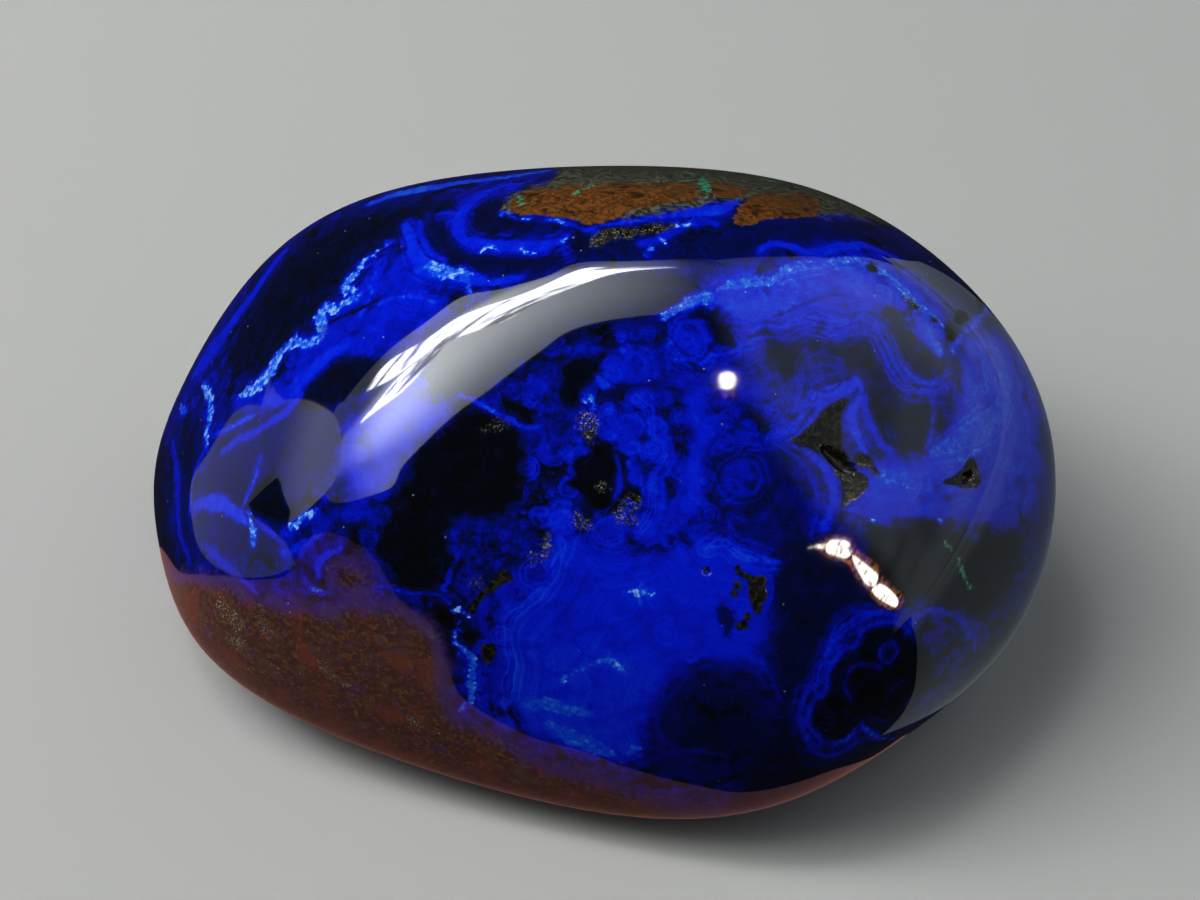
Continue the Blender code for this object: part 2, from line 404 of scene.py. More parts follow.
# %% Veins and fine lines: name, tone, points of x, y and width
LINES = (
    ("left rim vein, low", 0.45, (
        (172, 442, 9), (176, 470, 12), (178, 500, 12), (180, 530, 10), (190, 562, 8))),
    ("left rim vein", 0.56, (
        (196, 372, 19), (210, 352, 23), (224, 334, 23), (238, 314, 19), (250, 298, 15), (262, 281, 13.5),
        (274, 264, 13.5), (284, 253, 9.5))),
    ("left rim vein, thin end", 0.45, ((292, 240, 8), (305, 229, 9.5), (326, 217, 8))),
    ("left azure vein", 0.9, (
        (203, 384, 8), (210, 400, 11.5), (211, 412, 11.5), (207, 430, 10.5), (206, 448, 5))),
    ("left azure spot", 0.84, ((180, 408, 7), (186, 411, 8))),
    ("left inner line", 0.62, ((206, 448, 5), (197, 466, 5), (192, 486, 4), (190, 510, 4))),
    ("left cross line", 0.7, ((216, 434, 6), (232, 426, 7), (246, 420, 6), (262, 412, 3))),
    ("band beside it", 0.56, (
        (222, 452, 8), (240, 440, 9), (262, 428, 10), (285, 412, 12), (300, 396, 10))),
    ("stripe under the crescent", 0.6, (
        (262, 402, 12), (285, 396, 18), (306, 376, 18), (330, 354, 14), (346, 346, 10))),
    # pale band along the far left rim: a painted reflection of grey haze over blue rock, not a vein
    ("rim haze vein", 0.78, (
        (372, 203, 14.5), (400, 193, 21.5), (430, 188, 23.5), (465, 182, 20), (500, 178, 18),
        (545, 171, 16))),
    ("upper vein, foot", 0.9, (
        (240, 396, 7.5), (254, 388, 13.5), (264, 380, 18), (272, 368, 19.5), (277, 357, 13.5))),
    ("upper vein", 0.88, (
        (277, 357, 10), (285, 348, 11.5), (296, 342, 11.5), (304, 345, 11.5), (313, 341, 10),
        (321, 334, 10), (322, 325, 13), (320, 315, 14.5), (327, 307, 13), (338, 307, 11.5),
        (349, 300, 10), (358, 297, 10))),
    ("upper vein, spur", 0.8, ((294, 344, 5), (297, 332, 4))),
    ("upper vein, head", 0.86, (
        (358, 297, 8), (354, 291, 6.5), (345, 288, 10.5), (349, 280, 10.5), (358, 271, 10.5),
        (363, 262, 6.5), (372, 254, 5), (388, 244, 5))),
    ("thin vein beside it", 0.74, (
        (362, 311, 3), (368, 302, 5), (373, 293, 4), (371, 284, 5), (375, 275, 4), (377, 262, 3))),
    ("thin vein across", 0.74, ((378, 306, 3), (388, 300, 4), (400, 297, 3), (416, 298, 3), (432, 302, 4))),
    ("dark seam across", 0.12, ((330, 322, 4), (348, 314, 4), (366, 306, 4), (380, 300, 2))),
    ("left loop", 0.64, (
        (404, 224, 7), (411, 238, 12), (415, 254, 14), (425, 267, 18), (440, 272, 19), (456, 274, 15),
        (472, 281, 13))),
    ("left loop, bright", 0.88, ((430, 266, 10), (442, 272, 16), (458, 274, 14), (472, 280, 10))),
    ("left loop, inner", 0.58, ((418, 222, 6), (422, 240, 8), (430, 254, 7), (444, 262, 6))),
    ("left loop, tail", 0.62, ((472, 281, 11), (490, 283, 9), (508, 279, 8), (522, 277, 5))),
    ("left loop, drop", 0.8, ((464, 276, 8), (470, 288, 6), (468, 296, 3))),
    ("top loop", 0.6, (
        (530, 182, 6), (500, 187, 9), (480, 196, 10), (466, 207, 11), (458, 221, 12), (459, 235, 12),
        (471, 241, 11), (490, 243, 11), (515, 246, 13), (545, 246, 11), (561, 241, 9), (566, 236, 6))),
    ("top loop, fringe", 0.9, ((482, 250, 3), (490, 245, 4), (498, 250, 3))),
    ("top loop, spots", 0.94, ((560, 241, 5), (564, 239, 5))),
    ("top loop, drip", 0.9, ((520, 246, 4), (526, 251, 4), (534, 253, 3))),
    ("line in the top loop", 0.8, ((502, 216, 4), (507, 212, 6), (514, 217, 4), (528, 219, 3))),
    ("line under the matrix", 0.84, ((545, 221, 3), (562, 221, 4), (568, 225, 4))),
    ("thin line on the left", 0.66, ((428, 216, 3), (444, 214, 4), (462, 214, 4))),
    ("matrix border", 0.66, (
        (568, 222, 4), (586, 230, 6), (602, 226, 4), (640, 219, 5), (672, 215, 6), (700, 212, 18),
        (722, 208, 16), (742, 200, 7))),
    ("blue below the border", 0.52, (
        (640, 244, 9), (660, 238, 12), (680, 228, 12), (700, 222, 14), (716, 224, 8))),
    ("border spots", 0.98, ((676, 226, 5), (686, 226, 6))),
    ("border spot, left", 0.9, ((658, 238, 4), (664, 241, 4))),
    ("border spot, low", 0.84, ((650, 247, 6), (647, 256, 5))),
    ("blue right of the matrix", 0.46, ((818, 217, 5), (842, 217, 6), (872, 221, 4))),
    ("bright scallop", 0.62, (
        (760, 252, 6), (772, 244, 8), (786, 246, 9), (808, 252, 8), (834, 248, 12), (860, 245, 11),
        (880, 251, 9), (898, 258, 6))),
    ("turquoise vein, left", 0.83, (
        (664, 318, 5), (680, 308, 9.5), (695, 300, 12), (716, 296, 9.5), (735, 286, 11), (755, 281, 11),
        (776, 277, 9.5))),
    ("turquoise vein, middle", 0.82, (
        (776, 276, 7), (795, 267, 9), (815, 263, 8), (836, 260, 9), (856, 258, 8))),
    ("turquoise vein, right", 0.82, (
        (856, 258, 6), (872, 266, 8), (886, 274, 11), (900, 284, 11), (912, 298, 11), (922, 309, 9),
        (936, 319, 8), (946, 329, 6))),
    ("turquoise drop", 0.78, ((928, 330, 8), (933, 342, 12), (938, 352, 9))),
    ("vein by the far rim", 0.74, (
        (952, 352, 5), (962, 336, 6), (974, 322, 6), (988, 308, 5), (984, 296, 3))),
    ("botryoid", 0.7, ((722, 300, 16), (742, 306, 26), (768, 308, 22), (792, 302, 14))),
    ("dark seam in the botryoid", 0.3, (
        (770, 318, 3), (790, 310, 3), (812, 302, 3), (832, 296, 3), (850, 296, 2))),
    ("scallop, first", 0.68, (
        (733, 334, 3), (748, 332, 3), (764, 325, 4), (780, 327, 3), (795, 322, 3), (810, 317, 3),
        (830, 320, 4), (846, 321, 4), (860, 317, 3), (873, 321, 4), (886, 334, 4), (895, 350, 4),
        (902, 365, 4), (912, 377, 4), (925, 384, 4), (938, 380, 4), (950, 371, 3))),
    ("scallop, second", 0.62, (
        (738, 344, 3), (765, 338, 3), (788, 337, 3), (812, 329, 3), (836, 333, 4), (858, 328, 3),
        (872, 335, 4), (882, 352, 4), (890, 368, 4), (900, 382, 4), (914, 391, 5), (930, 392, 5),
        (946, 386, 4))),
    ("scallop, upper", 0.6, (
        (724, 322, 4), (748, 323, 3), (768, 319, 3), (790, 315, 3), (820, 310, 3), (850, 308, 3))),
    ("scallop, right", 0.55, ((932, 398, 3), (934, 415, 4), (932, 432, 4), (926, 448, 4))),
    ("crescent by the vug", 0.62, (
        (768, 438, 3), (786, 431, 4), (800, 420, 4), (809, 404, 5), (816, 391, 6))),
    ("crescent, inner", 0.6, ((790, 440, 3), (804, 428, 4), (814, 414, 5), (822, 402, 6))),
    ("cap over the vug", 0.66, (
        (818, 392, 8), (830, 391, 11), (846, 388, 11), (857, 381, 8), (861, 390, 5))),
    ("stripe right of the vug", 0.68, (
        (858, 398, 7), (853, 410, 9), (853, 424, 10), (858, 438, 9), (866, 450, 6))),
    ("stripe right of it", 0.55, ((864, 398, 7), (868, 420, 9), (876, 440, 9), (890, 452, 7))),
    ("band below the vug", 0.62, (
        (796, 446, 4), (812, 456, 7), (824, 470, 9), (832, 488, 9), (832, 508, 8), (824, 530, 8))),
    ("band below the vug, outer", 0.5, (
        (770, 442, 3), (790, 452, 4), (804, 466, 5), (814, 486, 5), (818, 510, 5), (812, 536, 4))),
    ("band on the right cheek", 0.75, (
        (932, 452, 6), (955, 444, 16), (980, 430, 22), (1000, 408, 22), (1004, 380, 18), (996, 356, 12))),
    ("line over the small vug", 0.8, ((952, 468, 3), (962, 460, 5), (972, 455, 5))),
    ("hook right of it", 0.72, ((1008, 462, 5), (1012, 478, 6), (1010, 495, 5))),
    ("bright below the small vug", 0.66, ((960, 492, 6), (980, 488, 9), (990, 478, 7), (1000, 480, 4))),
    ("teal arc", 0.8, ((884, 472, 3), (892, 480, 3), (902, 485, 3), (915, 490, 3))),
    ("teal spot", 0.8, ((941, 518, 4), (944, 524, 4))),
    ("band above the bay", 0.6, (
        (852, 508, 6), (880, 512, 14), (920, 508, 14), (960, 512, 10), (1000, 518, 8))),
    ("blue on the far rim", 0.5, ((1022, 362, 6), (1034, 388, 9), (1042, 412, 9), (1047, 430, 5))),
    ("white spots by the streak", 0.9, ((872, 519, 3), (874, 520, 3))),
    ("outer bright band, low", 0.54, ((682, 480, 5), (676, 505, 6), (664, 528, 7), (648, 548, 6))),
    ("ring around the beads", 0.62, (
        (636, 398, 3), (646, 410, 4), (650, 424, 4), (652, 436, 4), (662, 446, 4), (664, 456, 4),
        (658, 468, 4), (653, 480, 4), (654, 494, 4), (652, 510, 5), (644, 524, 5), (634, 534, 5))),
    ("ring around it", 0.55, (
        (662, 432, 3), (672, 448, 3), (670, 468, 3), (662, 484, 3), (663, 504, 4), (656, 524, 4),
        (642, 540, 4))),
    ("blue strip in the black", 0.5, ((616, 454, 4), (620, 468, 5), (618, 484, 6), (616, 498, 5))),
    ("right of the strip", 0.62, ((630, 462, 5), (632, 474, 5), (640, 482, 4))),
    ("low scallop of the beads", 0.62, (
        (564, 518, 6), (560, 530, 5), (562, 546, 5), (558, 562, 4), (550, 578, 4), (540, 592, 4),
        (526, 606, 4), (512, 620, 4), (507, 636, 4), (508, 650, 4), (512, 668, 4), (508, 690, 4),
        (505, 710, 4), (512, 724, 4))),
    ("scallop outside it", 0.52, (
        (548, 570, 3), (534, 582, 3), (518, 596, 3), (502, 608, 3), (496, 626, 3), (498, 646, 3),
        (503, 668, 3), (499, 690, 3), (496, 712, 3), (500, 728, 3))),
    ("scallop farther out", 0.46, (
        (536, 570, 3), (512, 590, 3), (492, 604, 3), (486, 624, 3), (488, 648, 3), (494, 672, 3),
        (489, 696, 3), (488, 716, 3))),
    ("ring in the eye", 0.24, (
        (684, 742, 5), (676, 722, 5), (682, 700, 5), (698, 684, 5), (722, 678, 5), (746, 686, 5),
        (762, 706, 5), (766, 730, 5), (758, 750, 5))),
    ("outer ring in the eye", 0.34, (
        (664, 744, 4), (658, 718, 4), (668, 692, 4), (688, 672, 4), (718, 664, 4), (748, 670, 4),
        (770, 690, 4))),
    ("arch over the beads", 0.58, ((524, 512, 3), (545, 514, 4), (566, 516, 7), (572, 524, 4))),
    ("thin vein, upper left of the face", 0.64, (
        (462, 396, 4), (476, 402, 5), (492, 410, 5), (508, 420, 4), (524, 428, 4), (538, 428, 3))),
    ("thin vein, spots", 0.8, ((486, 408, 4), (494, 411, 4))),
    ("dark seam over the beads", 0.14, ((612, 391, 2), (632, 386, 2), (660, 386, 1.5), (690, 392, 2))),
    ("knob ring", 0.62, (
        (676, 338, 3), (680, 326, 3), (690, 322, 3), (702, 326, 3), (708, 338, 4), (705, 352, 3))),
    ("knob outer ring", 0.66, (
        (735, 338, 4), (738, 350, 4), (726, 356, 4), (712, 356, 4), (700, 362, 4), (686, 360, 4),
        (672, 362, 3))),
    ("bead edge, left", 0.84, ((584, 400, 4), (588, 394, 6), (592, 402, 4))),
    ("bead, bright", 0.66, ((598, 378, 9), (604, 384, 11))),
    ("upper bead line", 0.55, ((600, 366, 4), (612, 358, 4), (626, 364, 4), (632, 376, 4))),
    ("ragged vein in the field", 0.82, (
        (562, 682, 4), (572, 674, 5), (586, 666, 4), (600, 661, 5), (612, 662, 5), (620, 668, 5),
        (626, 664, 3))),
    ("ragged vein, spur", 0.8, ((609, 660, 3), (610, 653, 2))),
    ("ragged vein, foot", 0.68, ((604, 682, 6), (608, 692, 4), (606, 700, 3))),
    ("star", 0.86, ((628, 592, 4), (638, 592, 9), (648, 594, 4))),
    ("star, spur", 0.74, ((640, 584, 3), (641, 604, 2))),
    ("pale streak", 0.77, ((528, 706, 11), (546, 704, 15.5), (564, 709, 15.5), (586, 714, 9.5))),
    ("pale streak, low", 0.76, ((552, 728, 13), (566, 736, 19), (586, 744, 23), (608, 752, 13))),
    ("pale streak, right", 0.75, ((628, 754, 6), (636, 748, 9.5))),
    ("scallop in the field", 0.72, (
        (706, 548, 3), (716, 543, 3), (728, 543, 3), (738, 552, 4), (756, 558, 4), (778, 560, 3))),
    ("second scallop", 0.64, ((730, 560, 3), (750, 567, 4), (774, 567, 3))),
    ("edge of the field", 0.55, ((770, 576, 4), (772, 596, 4), (764, 612, 3))),
    ("halo of the dark disc", 0.56, (
        (690, 660, 6), (716, 648, 6), (742, 650, 6), (756, 660, 5), (764, 670, 4))),
    ("halo, outer", 0.4, ((756, 664, 5), (770, 680, 5), (780, 700, 4))),
    ("azure spot, left", 0.96, ((455, 612, 5), (462, 612, 7), (468, 616, 4))),
    ("azure spot, left low", 0.96, ((460, 653, 4), (468, 655, 5), (472, 655, 3))),
    ("azure column", 0.82, (
        (460, 622, 4), (456, 642, 4), (468, 652, 10), (474, 668, 9), (472, 684, 8), (472, 698, 8),
        (462, 708, 8))),
    ("thin vein to the left", 0.62, (
        (372, 588, 4), (386, 586, 4), (400, 591, 4), (420, 594, 3), (440, 596, 4), (450, 604, 5))),
    ("vein up from it", 0.5, ((444, 590, 7), (452, 572, 7), (458, 556, 6), (452, 536, 6))),
    ("blue wisp", 0.62, ((342, 548, 5), (330, 555, 8), (318, 563, 10), (318, 575, 8))),
    ("blue wisp spot", 0.86, ((312, 590, 5), (320, 591, 8), (327, 592, 3))),
    ("wisp, low", 0.6, ((284, 604, 5), (294, 608, 6))),
    ("wisp, left", 0.66, ((234, 576, 6), (246, 582, 8), (256, 592, 5))),
    ("left blue band", 0.64, ((196, 505, 10), (212, 502, 17), (230, 508, 15), (244, 522, 10))),
    ("left blue band, low", 0.5, ((206, 548, 8), (222, 562, 11), (240, 578, 8))),
    ("azure vein, lower left", 0.86, ((248, 512, 5), (252, 530, 8), (253, 546, 5))),
    ("azure vein, upward", 0.74, ((242, 508, 3), (250, 492, 4), (256, 476, 4), (260, 458, 3))),
    ("azure cross vein", 0.88, ((284, 534, 5), (292, 526, 9), (301, 520, 8), (316, 512, 5))),
    ("below the cross vein", 0.6, ((284, 552, 8), (300, 546, 8), (318, 536, 5))),
    ("blue under the veil edge", 0.5, (
        (258, 520, 7), (274, 534, 7), (290, 548, 5))),
    ("lower loop, outer", 0.6, (
        (812, 748, 5), (804, 732, 6), (801, 712, 6), (806, 692, 5), (817, 682, 4), (819, 668, 4),
        (825, 655, 5), (833, 642, 5), (841, 629, 5), (853, 620, 5), (866, 614, 5), (880, 611, 5),
        (894, 613, 4))),
    ("lower loop, halo", 0.36, (
        (795, 735, 5), (794, 708, 5), (800, 688, 5), (812, 672, 4), (816, 656, 4), (826, 638, 5),
        (838, 620, 5), (854, 610, 5), (872, 605, 4))),
    ("lower loop, inner", 0.62, (
        (821, 742, 5), (812, 730, 6), (808, 715, 5), (813, 701, 4), (823, 694, 4), (827, 687, 3),
        (826, 673, 4), (833, 660, 4), (845, 652, 4), (856, 646, 4), (860, 635, 4), (868, 627, 4),
        (880, 621, 4), (892, 622, 4), (902, 628, 4), (908, 633, 4))),
    ("lower loop, right arch", 0.64, (
        (905, 634, 4), (911, 622, 5), (921, 614, 5), (935, 610, 6), (950, 614, 5), (961, 623, 4),
        (971, 636, 4), (975, 650, 3))),
    ("lower loop, arc", 0.42, (
        (880, 667, 4), (866, 664, 5), (852, 668, 5), (845, 679, 5), (845, 690, 4), (853, 700, 3))),
    ("lower loop, low arc", 0.36, ((868, 716, 3), (884, 720, 5), (900, 712, 4), (908, 700, 3))),
    ("lower loop, side arc", 0.28, ((888, 700, 4), (892, 690, 4), (904, 680, 4))),
    ("foot of the loop", 0.76, (
        (836, 745, 6), (848, 738, 7), (854, 730, 6), (860, 727, 5), (868, 731, 5), (876, 737, 4),
        (890, 738, 3), (906, 735, 2))),
    ("foot of the loop, below", 0.5, ((812, 750, 5), (826, 756, 5), (842, 752, 6), (856, 742, 5))),
    ("low rim glow", 0.24, ((800, 762, 6), (822, 764, 6), (850, 756, 5))),
    ("stripe below the disc", 0.36, ((640, 764, 6), (670, 754, 6), (700, 752, 6), (724, 756, 5))),
    ("streak below the disc", 0.3, ((690, 756, 8), (694, 770, 7), (700, 782, 5))),
    ("hairline below the disc", 0.2, ((690, 746, 1.5), (712, 744, 1.5), (760, 741, 1.5))),
)
print("veins and lines:", len(LINES))

# %% Ringed beads: name, x, y, radius in pixels, tone of the rim, tone of the middle
BEADS = (
    ("bead with a dark eye", 607, 428, 11, 0.64, 0.4),
    ("bead beside it", 631, 426, 10, 0.6, 0.5),
    ("upper bead", 608, 412, 7, 0.55, 0.5),
    ("right bead", 650, 452, 10, 0.56, 0.5),
    ("small right bead", 632, 448, 6, 0.62, 0.5),
    ("low right bead", 634, 476, 6, 0.58, 0.5),
    ("low bead", 610, 530, 12, 0.6, 0.5),
    ("low left bead", 562, 522, 11, 0.62, 0.56),
    ("bead over the seam", 612, 368, 12, 0.56, 0.46),
    ("bead right of it", 634, 366, 10, 0.54, 0.46),
    ("knob", 690, 338, 12, 0.55, 0.44),
    ("ringed eye", 887, 652, 9, 0.55, 0.14),
    ("eye in the disc", 742, 478, 16, 0.42, 0.34),
    ("eye in the field", 536, 574, 10, 0.55, 0.36),
    ("eye at the scallops", 824, 372, 18, 0.36, 0.24),
)
print("beads:", len(BEADS))

# %% Brown matrix, a painted grey reflection on the top rim, olive crystals, malachite and pale grains
MATRIX = (
    # grey-olive band along the top rim: a painted reflection of grey haze over dark rock, not matrix
    ("painted_rim_reflection", (
        (548, 184), (556, 172), (566, 160), (600, 140), (700, 135), (800, 150), (880, 185), (915, 215),
        (905, 224), (880, 222), (862, 218), (846, 216), (820, 215), (800, 205), (760, 205), (744, 200),
        (720, 198), (690, 206), (660, 212), (630, 216), (600, 210), (560, 200), (520, 206), (510, 214),
        (504, 208), (508, 198), (524, 190))),
    ("ochre", (
        (510, 206), (514, 198), (526, 192), (540, 189), (555, 190), (566, 186), (582, 186), (600, 184),
        (622, 185), (640, 183), (662, 185), (680, 184), (696, 189), (700, 194), (690, 200), (672, 200),
        (660, 205), (645, 207), (630, 210), (618, 217), (602, 224), (588, 226), (574, 220), (560, 217),
        (540, 216), (522, 214), (512, 211))),
    ("ochre", (
        (706, 190), (712, 184), (724, 182), (738, 184), (748, 190), (744, 195), (728, 195), (714, 196))),
    ("ochre", (
        (733, 220), (736, 212), (742, 206), (752, 198), (766, 194), (784, 195), (802, 194), (812, 198),
        (820, 204), (818, 212), (808, 217), (790, 219), (772, 220), (756, 221), (742, 224))),
    ("umber", (
        (130, 560), (176, 570), (200, 572), (236, 580), (258, 594), (280, 600), (300, 600), (320, 606),
        (345, 600), (372, 600), (400, 606), (430, 622), (446, 650), (450, 690), (462, 716), (490, 726),
        (520, 744), (560, 764), (620, 782), (680, 800), (730, 812), (700, 870), (400, 850), (200, 760),
        (110, 640))),
    ("umber", (
        (326, 566), (340, 556), (362, 560), (374, 575), (372, 592), (345, 598), (328, 586))),
)
OLIVE = (
    ("crystals in the long vug", (
        (791, 441), (804, 430), (816, 418), (823, 408), (832, 404), (848, 401), (844, 412), (842, 430),
        (842, 446), (850, 456), (856, 468), (868, 478), (870, 488), (862, 496), (848, 502), (843, 506),
        (841, 492), (838, 478), (834, 468), (824, 460), (812, 448))),
    ("olive arm", ((856, 452), (866, 452), (876, 464), (880, 474), (868, 466), (858, 460))),
    ("crystals in the small vug", (
        (936, 490), (940, 484), (952, 476), (962, 468), (968, 458), (976, 462), (980, 474), (984, 482),
        (976, 488), (962, 488), (950, 486))),
    ("patch in the field", (
        (734, 567), (741, 564), (744, 572), (752, 576), (764, 576), (766, 588), (768, 598), (762, 604),
        (760, 614), (752, 608), (748, 598), (746, 584), (738, 576))),
    ("crumb 1", ((735, 582), (741, 584), (740, 590), (735, 590))),
    ("crumb 2", ((733, 591), (738, 592), (737, 597), (732, 597))),
    ("crumb 3", ((738, 621), (744, 619), (746, 626), (742, 630), (737, 628))),
    ("crumb 4", ((742, 614), (748, 613), (748, 618), (743, 618))),
    ("bead by the contour bands", (
        (482, 646), (490, 642), (496, 648), (494, 660), (490, 668), (485, 662))),
    ("seam by the contour bands", (
        (468, 610), (474, 598), (484, 586), (496, 574), (506, 570), (514, 578), (504, 584), (490, 594),
        (480, 604), (474, 616))),
    ("streak below the matrix", (
        (592, 244), (598, 236), (612, 230), (640, 226), (668, 224), (672, 228), (650, 233), (634, 236),
        (612, 240), (600, 246))),
    ("flecks by the far vein", ((908, 300), (914, 302), (918, 308), (912, 308))),
    ("flecks by the far vein 2", ((928, 316), (936, 318), (938, 324), (930, 324))),
    ("flecks by the far vein 3", ((942, 324), (950, 328), (956, 338), (948, 340))),
    ("flecks by the far vein 4", ((956, 314), (966, 310), (970, 318), (962, 324), (957, 322))),
    ("flecks by the far vein 5", ((976, 302), (984, 300), (984, 312), (978, 312))),
    ("flecks over the scallop", ((866, 262), (876, 262), (878, 270), (870, 272))),
)
MALACHITE = (
    ("dash", ((958, 559, 3), (962, 570, 5), (965, 579, 5), (971, 588, 4))),
    ("short dash", ((947, 543, 3), (951, 549, 4))),
    ("green on the top matrix 1", ((519, 196, 5), (521, 204, 5))),
    ("green on the top matrix 2", ((576, 194, 5), (580, 191, 5))),
    ("green on the top matrix 3", ((586, 188, 6), (592, 186, 5))),
    ("green on the top matrix 4", ((702, 178, 8), (706, 190, 10))),
    ("green on the top matrix 5", ((686, 172, 10), (694, 174, 8))),
    ("green on the top matrix 6", ((766, 180, 12), (778, 182, 8))),
    ("green by the far rim", ((862, 210, 5), (876, 214, 7))),
)
GRAINS = (
    ("beads of cream crystals", 0.9, ((582, 418, 10), (588, 424, 18), (588, 436, 10))),
    ("cream curl", 0.8, ((620, 506, 6), (628, 501, 6), (636, 502, 6), (634, 508, 4))),
    ("cream curl, low", 0.8, ((616, 512, 5), (622, 520, 7), (630, 520, 5))),
    ("cream below the heart", 0.7, ((573, 518, 5), (582, 524, 8), (590, 528, 5))),
    ("cream at the bend", 0.8, ((548, 540, 6), (547, 552, 8), (538, 560, 6), (530, 562, 4))),
    ("grey flecks", 0.5, ((476, 584, 8), (484, 578, 7))),
    ("khaki streak", 0.6, ((592, 244, 6), (604, 236, 10), (626, 234, 9), (650, 229, 8), (668, 227, 5))),
    ("grains in the dark", 0.3, ((486, 430, 8), (500, 424, 10))),
    ("matrix grains, left", 0.8, ((222, 605, 16), (236, 625, 24), (236, 645, 14))),
    ("matrix grains, right of it", 0.7, ((258, 608, 12), (264, 630, 14))),
    ("matrix grains, middle", 0.6, ((320, 664, 14), (334, 676, 12), (346, 684, 10))),
    ("matrix grains, far", 0.7, ((410, 720, 8), (420, 726, 6))),
    ("matrix grain, right", 0.7, ((434, 634, 5), (438, 638, 4))),
    ("grain at the foot", 0.7, ((498, 744, 5), (504, 750, 5))),
    ("grains on the upper vein", 0.7, ((322, 328, 7), (325, 334, 5))),
    ("grains on the far vein", 0.6, ((905, 296, 6), (916, 306, 6))),
    ("lip of the vug", 0.95, ((826, 453, 6.5), (831, 457, 9.5), (836, 462, 6.5))),
    ("lip of the vug, low", 0.8, ((838, 472, 6.5), (844, 476, 9.5), (848, 477, 5))),
    ("gold in the vug", 0.5, ((846, 496, 5), (852, 498, 5))),
    ("crescent in the small vug", 0.95, ((961, 484, 8), (969, 487, 9), (976, 483, 8), (977, 474, 6))),
    ("speck in the black", 1.0, ((600, 488, 2.5), (603, 489, 2.5))),
    ("rim grains", 0.4, ((585, 168, 5), (640, 168, 6), (680, 170, 5))),
)
print("outlines of matrix and crystals:", len(MATRIX), "grain runs:", len(GRAINS))

# %% [markdown]
# ## From marks to distances
#
# A mark is kept as a depth: how far a point lies inside its edge, in mm, and negative outside. A
# depth changes evenly from point to point, so a mesh can carry it, and the shader can still cut a
# sharp or a ragged edge where it passes zero. A colour kept on the mesh could only be blurred.

# %% Depth inside a run and inside an area
FAR = 6.0  # mm, beyond which a depth no longer matters


def rounded(rows, closed):
    """A smooth curve through the rows, five steps to each."""
    rows = np.array(rows, float)
    if closed:
        rows = np.vstack([rows[-1], rows, rows[:2]])
    else:
        rows = np.vstack([2 * rows[0] - rows[1], rows, 2 * rows[-1] - rows[-2]])
    before, start, end, after = rows[:-3], rows[1:-2], rows[2:-1], rows[3:]
    share = np.linspace(0, 1, 5, endpoint=False)[:, None, None]
    curve = 0.5 * (
        2 * start
        + (end - before) * share
        + (2 * before - 5 * start + 4 * end - after) * share**2
        + (3 * start - before - 3 * end + after) * share**3
    )
    curve = curve.transpose(1, 0, 2).reshape(-1, rows.shape[1])
    return curve if closed else np.vstack([curve, rows[-2]])


def run_depth(where, spots, halves):
    """Depth inside a run through these spots, this many mm wide to each side, and mm along it."""
    depth, along = np.full(len(where), -FAR), np.zeros(len(where))
    low = spots.min(0) - halves.max() - FAR / 2
    high = spots.max(0) + halves.max() + FAR / 2
    near = np.flatnonzero(((where > low) & (where < high)).all(1))
    if not len(near):
        return depth, along
    found, place, gone = np.full(len(near), -FAR), np.zeros(len(near)), 0.0
    for a, b, wide_a, wide_b in zip(spots[:-1], spots[1:], halves[:-1], halves[1:]):
        way = b - a
        share = np.clip((where[near] - a) @ way / max(way @ way, 1e-9), 0, 1)
        off = np.linalg.norm(where[near] - a - share[:, None] * way, axis=1)
        here = wide_a + (wide_b - wide_a) * share - off
        place = np.where(here > found, gone + share * np.linalg.norm(way), place)
        found = np.maximum(found, here)
        gone += np.linalg.norm(way)
    depth[near], along[near] = found, place
    return depth, along


def seen_run(rows):
    """The spots on the stone and the half widths in mm of a run given in pixels."""
    curve = rounded(rows, False)
    return seen_at(curve[:, :2]), np.maximum(curve[:, 2], 1) / 2 / PIXELS_PER_MM


def area_depth(flat, beyond, corners):
    """Depth in mm inside an outline given in pixels, less the mm that a point lies past the rim."""
    outline = rounded(corners, True)
    depth = np.full(len(flat), -FAR)
    margin = FAR / 2 * PIXELS_PER_MM
    low, high = outline.min(0) - margin, outline.max(0) + margin
    near = np.flatnonzero(((flat > low) & (flat < high)).all(1))
    spots = flat[near]
    off = np.full(len(near), FAR * PIXELS_PER_MM)
    crossings = np.zeros(len(near), int)
    for a, b in zip(outline, np.roll(outline, -1, 0)):
        way = b - a
        share = np.clip((spots - a) @ way / max(way @ way, 1e-9), 0, 1)
        off = np.minimum(off, np.linalg.norm(spots - a - share[:, None] * way, axis=1))
        spans = (a[1] > spots[:, 1]) != (b[1] > spots[:, 1])
        rise = way[1] if way[1] else 1e-9
        crossings += spans & (spots[:, 0] < a[0] + (spots[:, 1] - a[1]) / rise * way[0])
    depth[near] = np.where(crossings % 2 == 1, off, -off) / PIXELS_PER_MM - beyond[near]
    return depth


def smooth_step(value):
    value = np.clip(value, 0, 1)
    return value * value * (3 - 2 * value)


print("farthest depth kept, mm:", FAR)

# %% Wobble, so that no mark keeps a drawn edge
WOBBLES = ((2.6, 0.22), (0.9, 0.13))  # size of the wobble and how far it moves a point, mm


def wobbled(where):
    moved = where.copy()
    for size, reach in WOBBLES:
        moved += reach * np.array([noise.noise_vector(Vector(spot / size)) for spot in where])
    return moved


print("largest wobble, mm:", sum(reach for _, reach in WOBBLES))

# %% [markdown]
# ## The sides that the camera doesn't see
#
# The rock goes on behind the rim. Marks of the face run a few millimetres past it, and from there
# the same kinds of mark are scattered by a seeded draw: dark and bright areas, round knobs with
# growth rings, and veins that wander as cracks do. The brown matrix isn't left to chance, because
# it has to join the brown that the face shows along its top and its lower left.

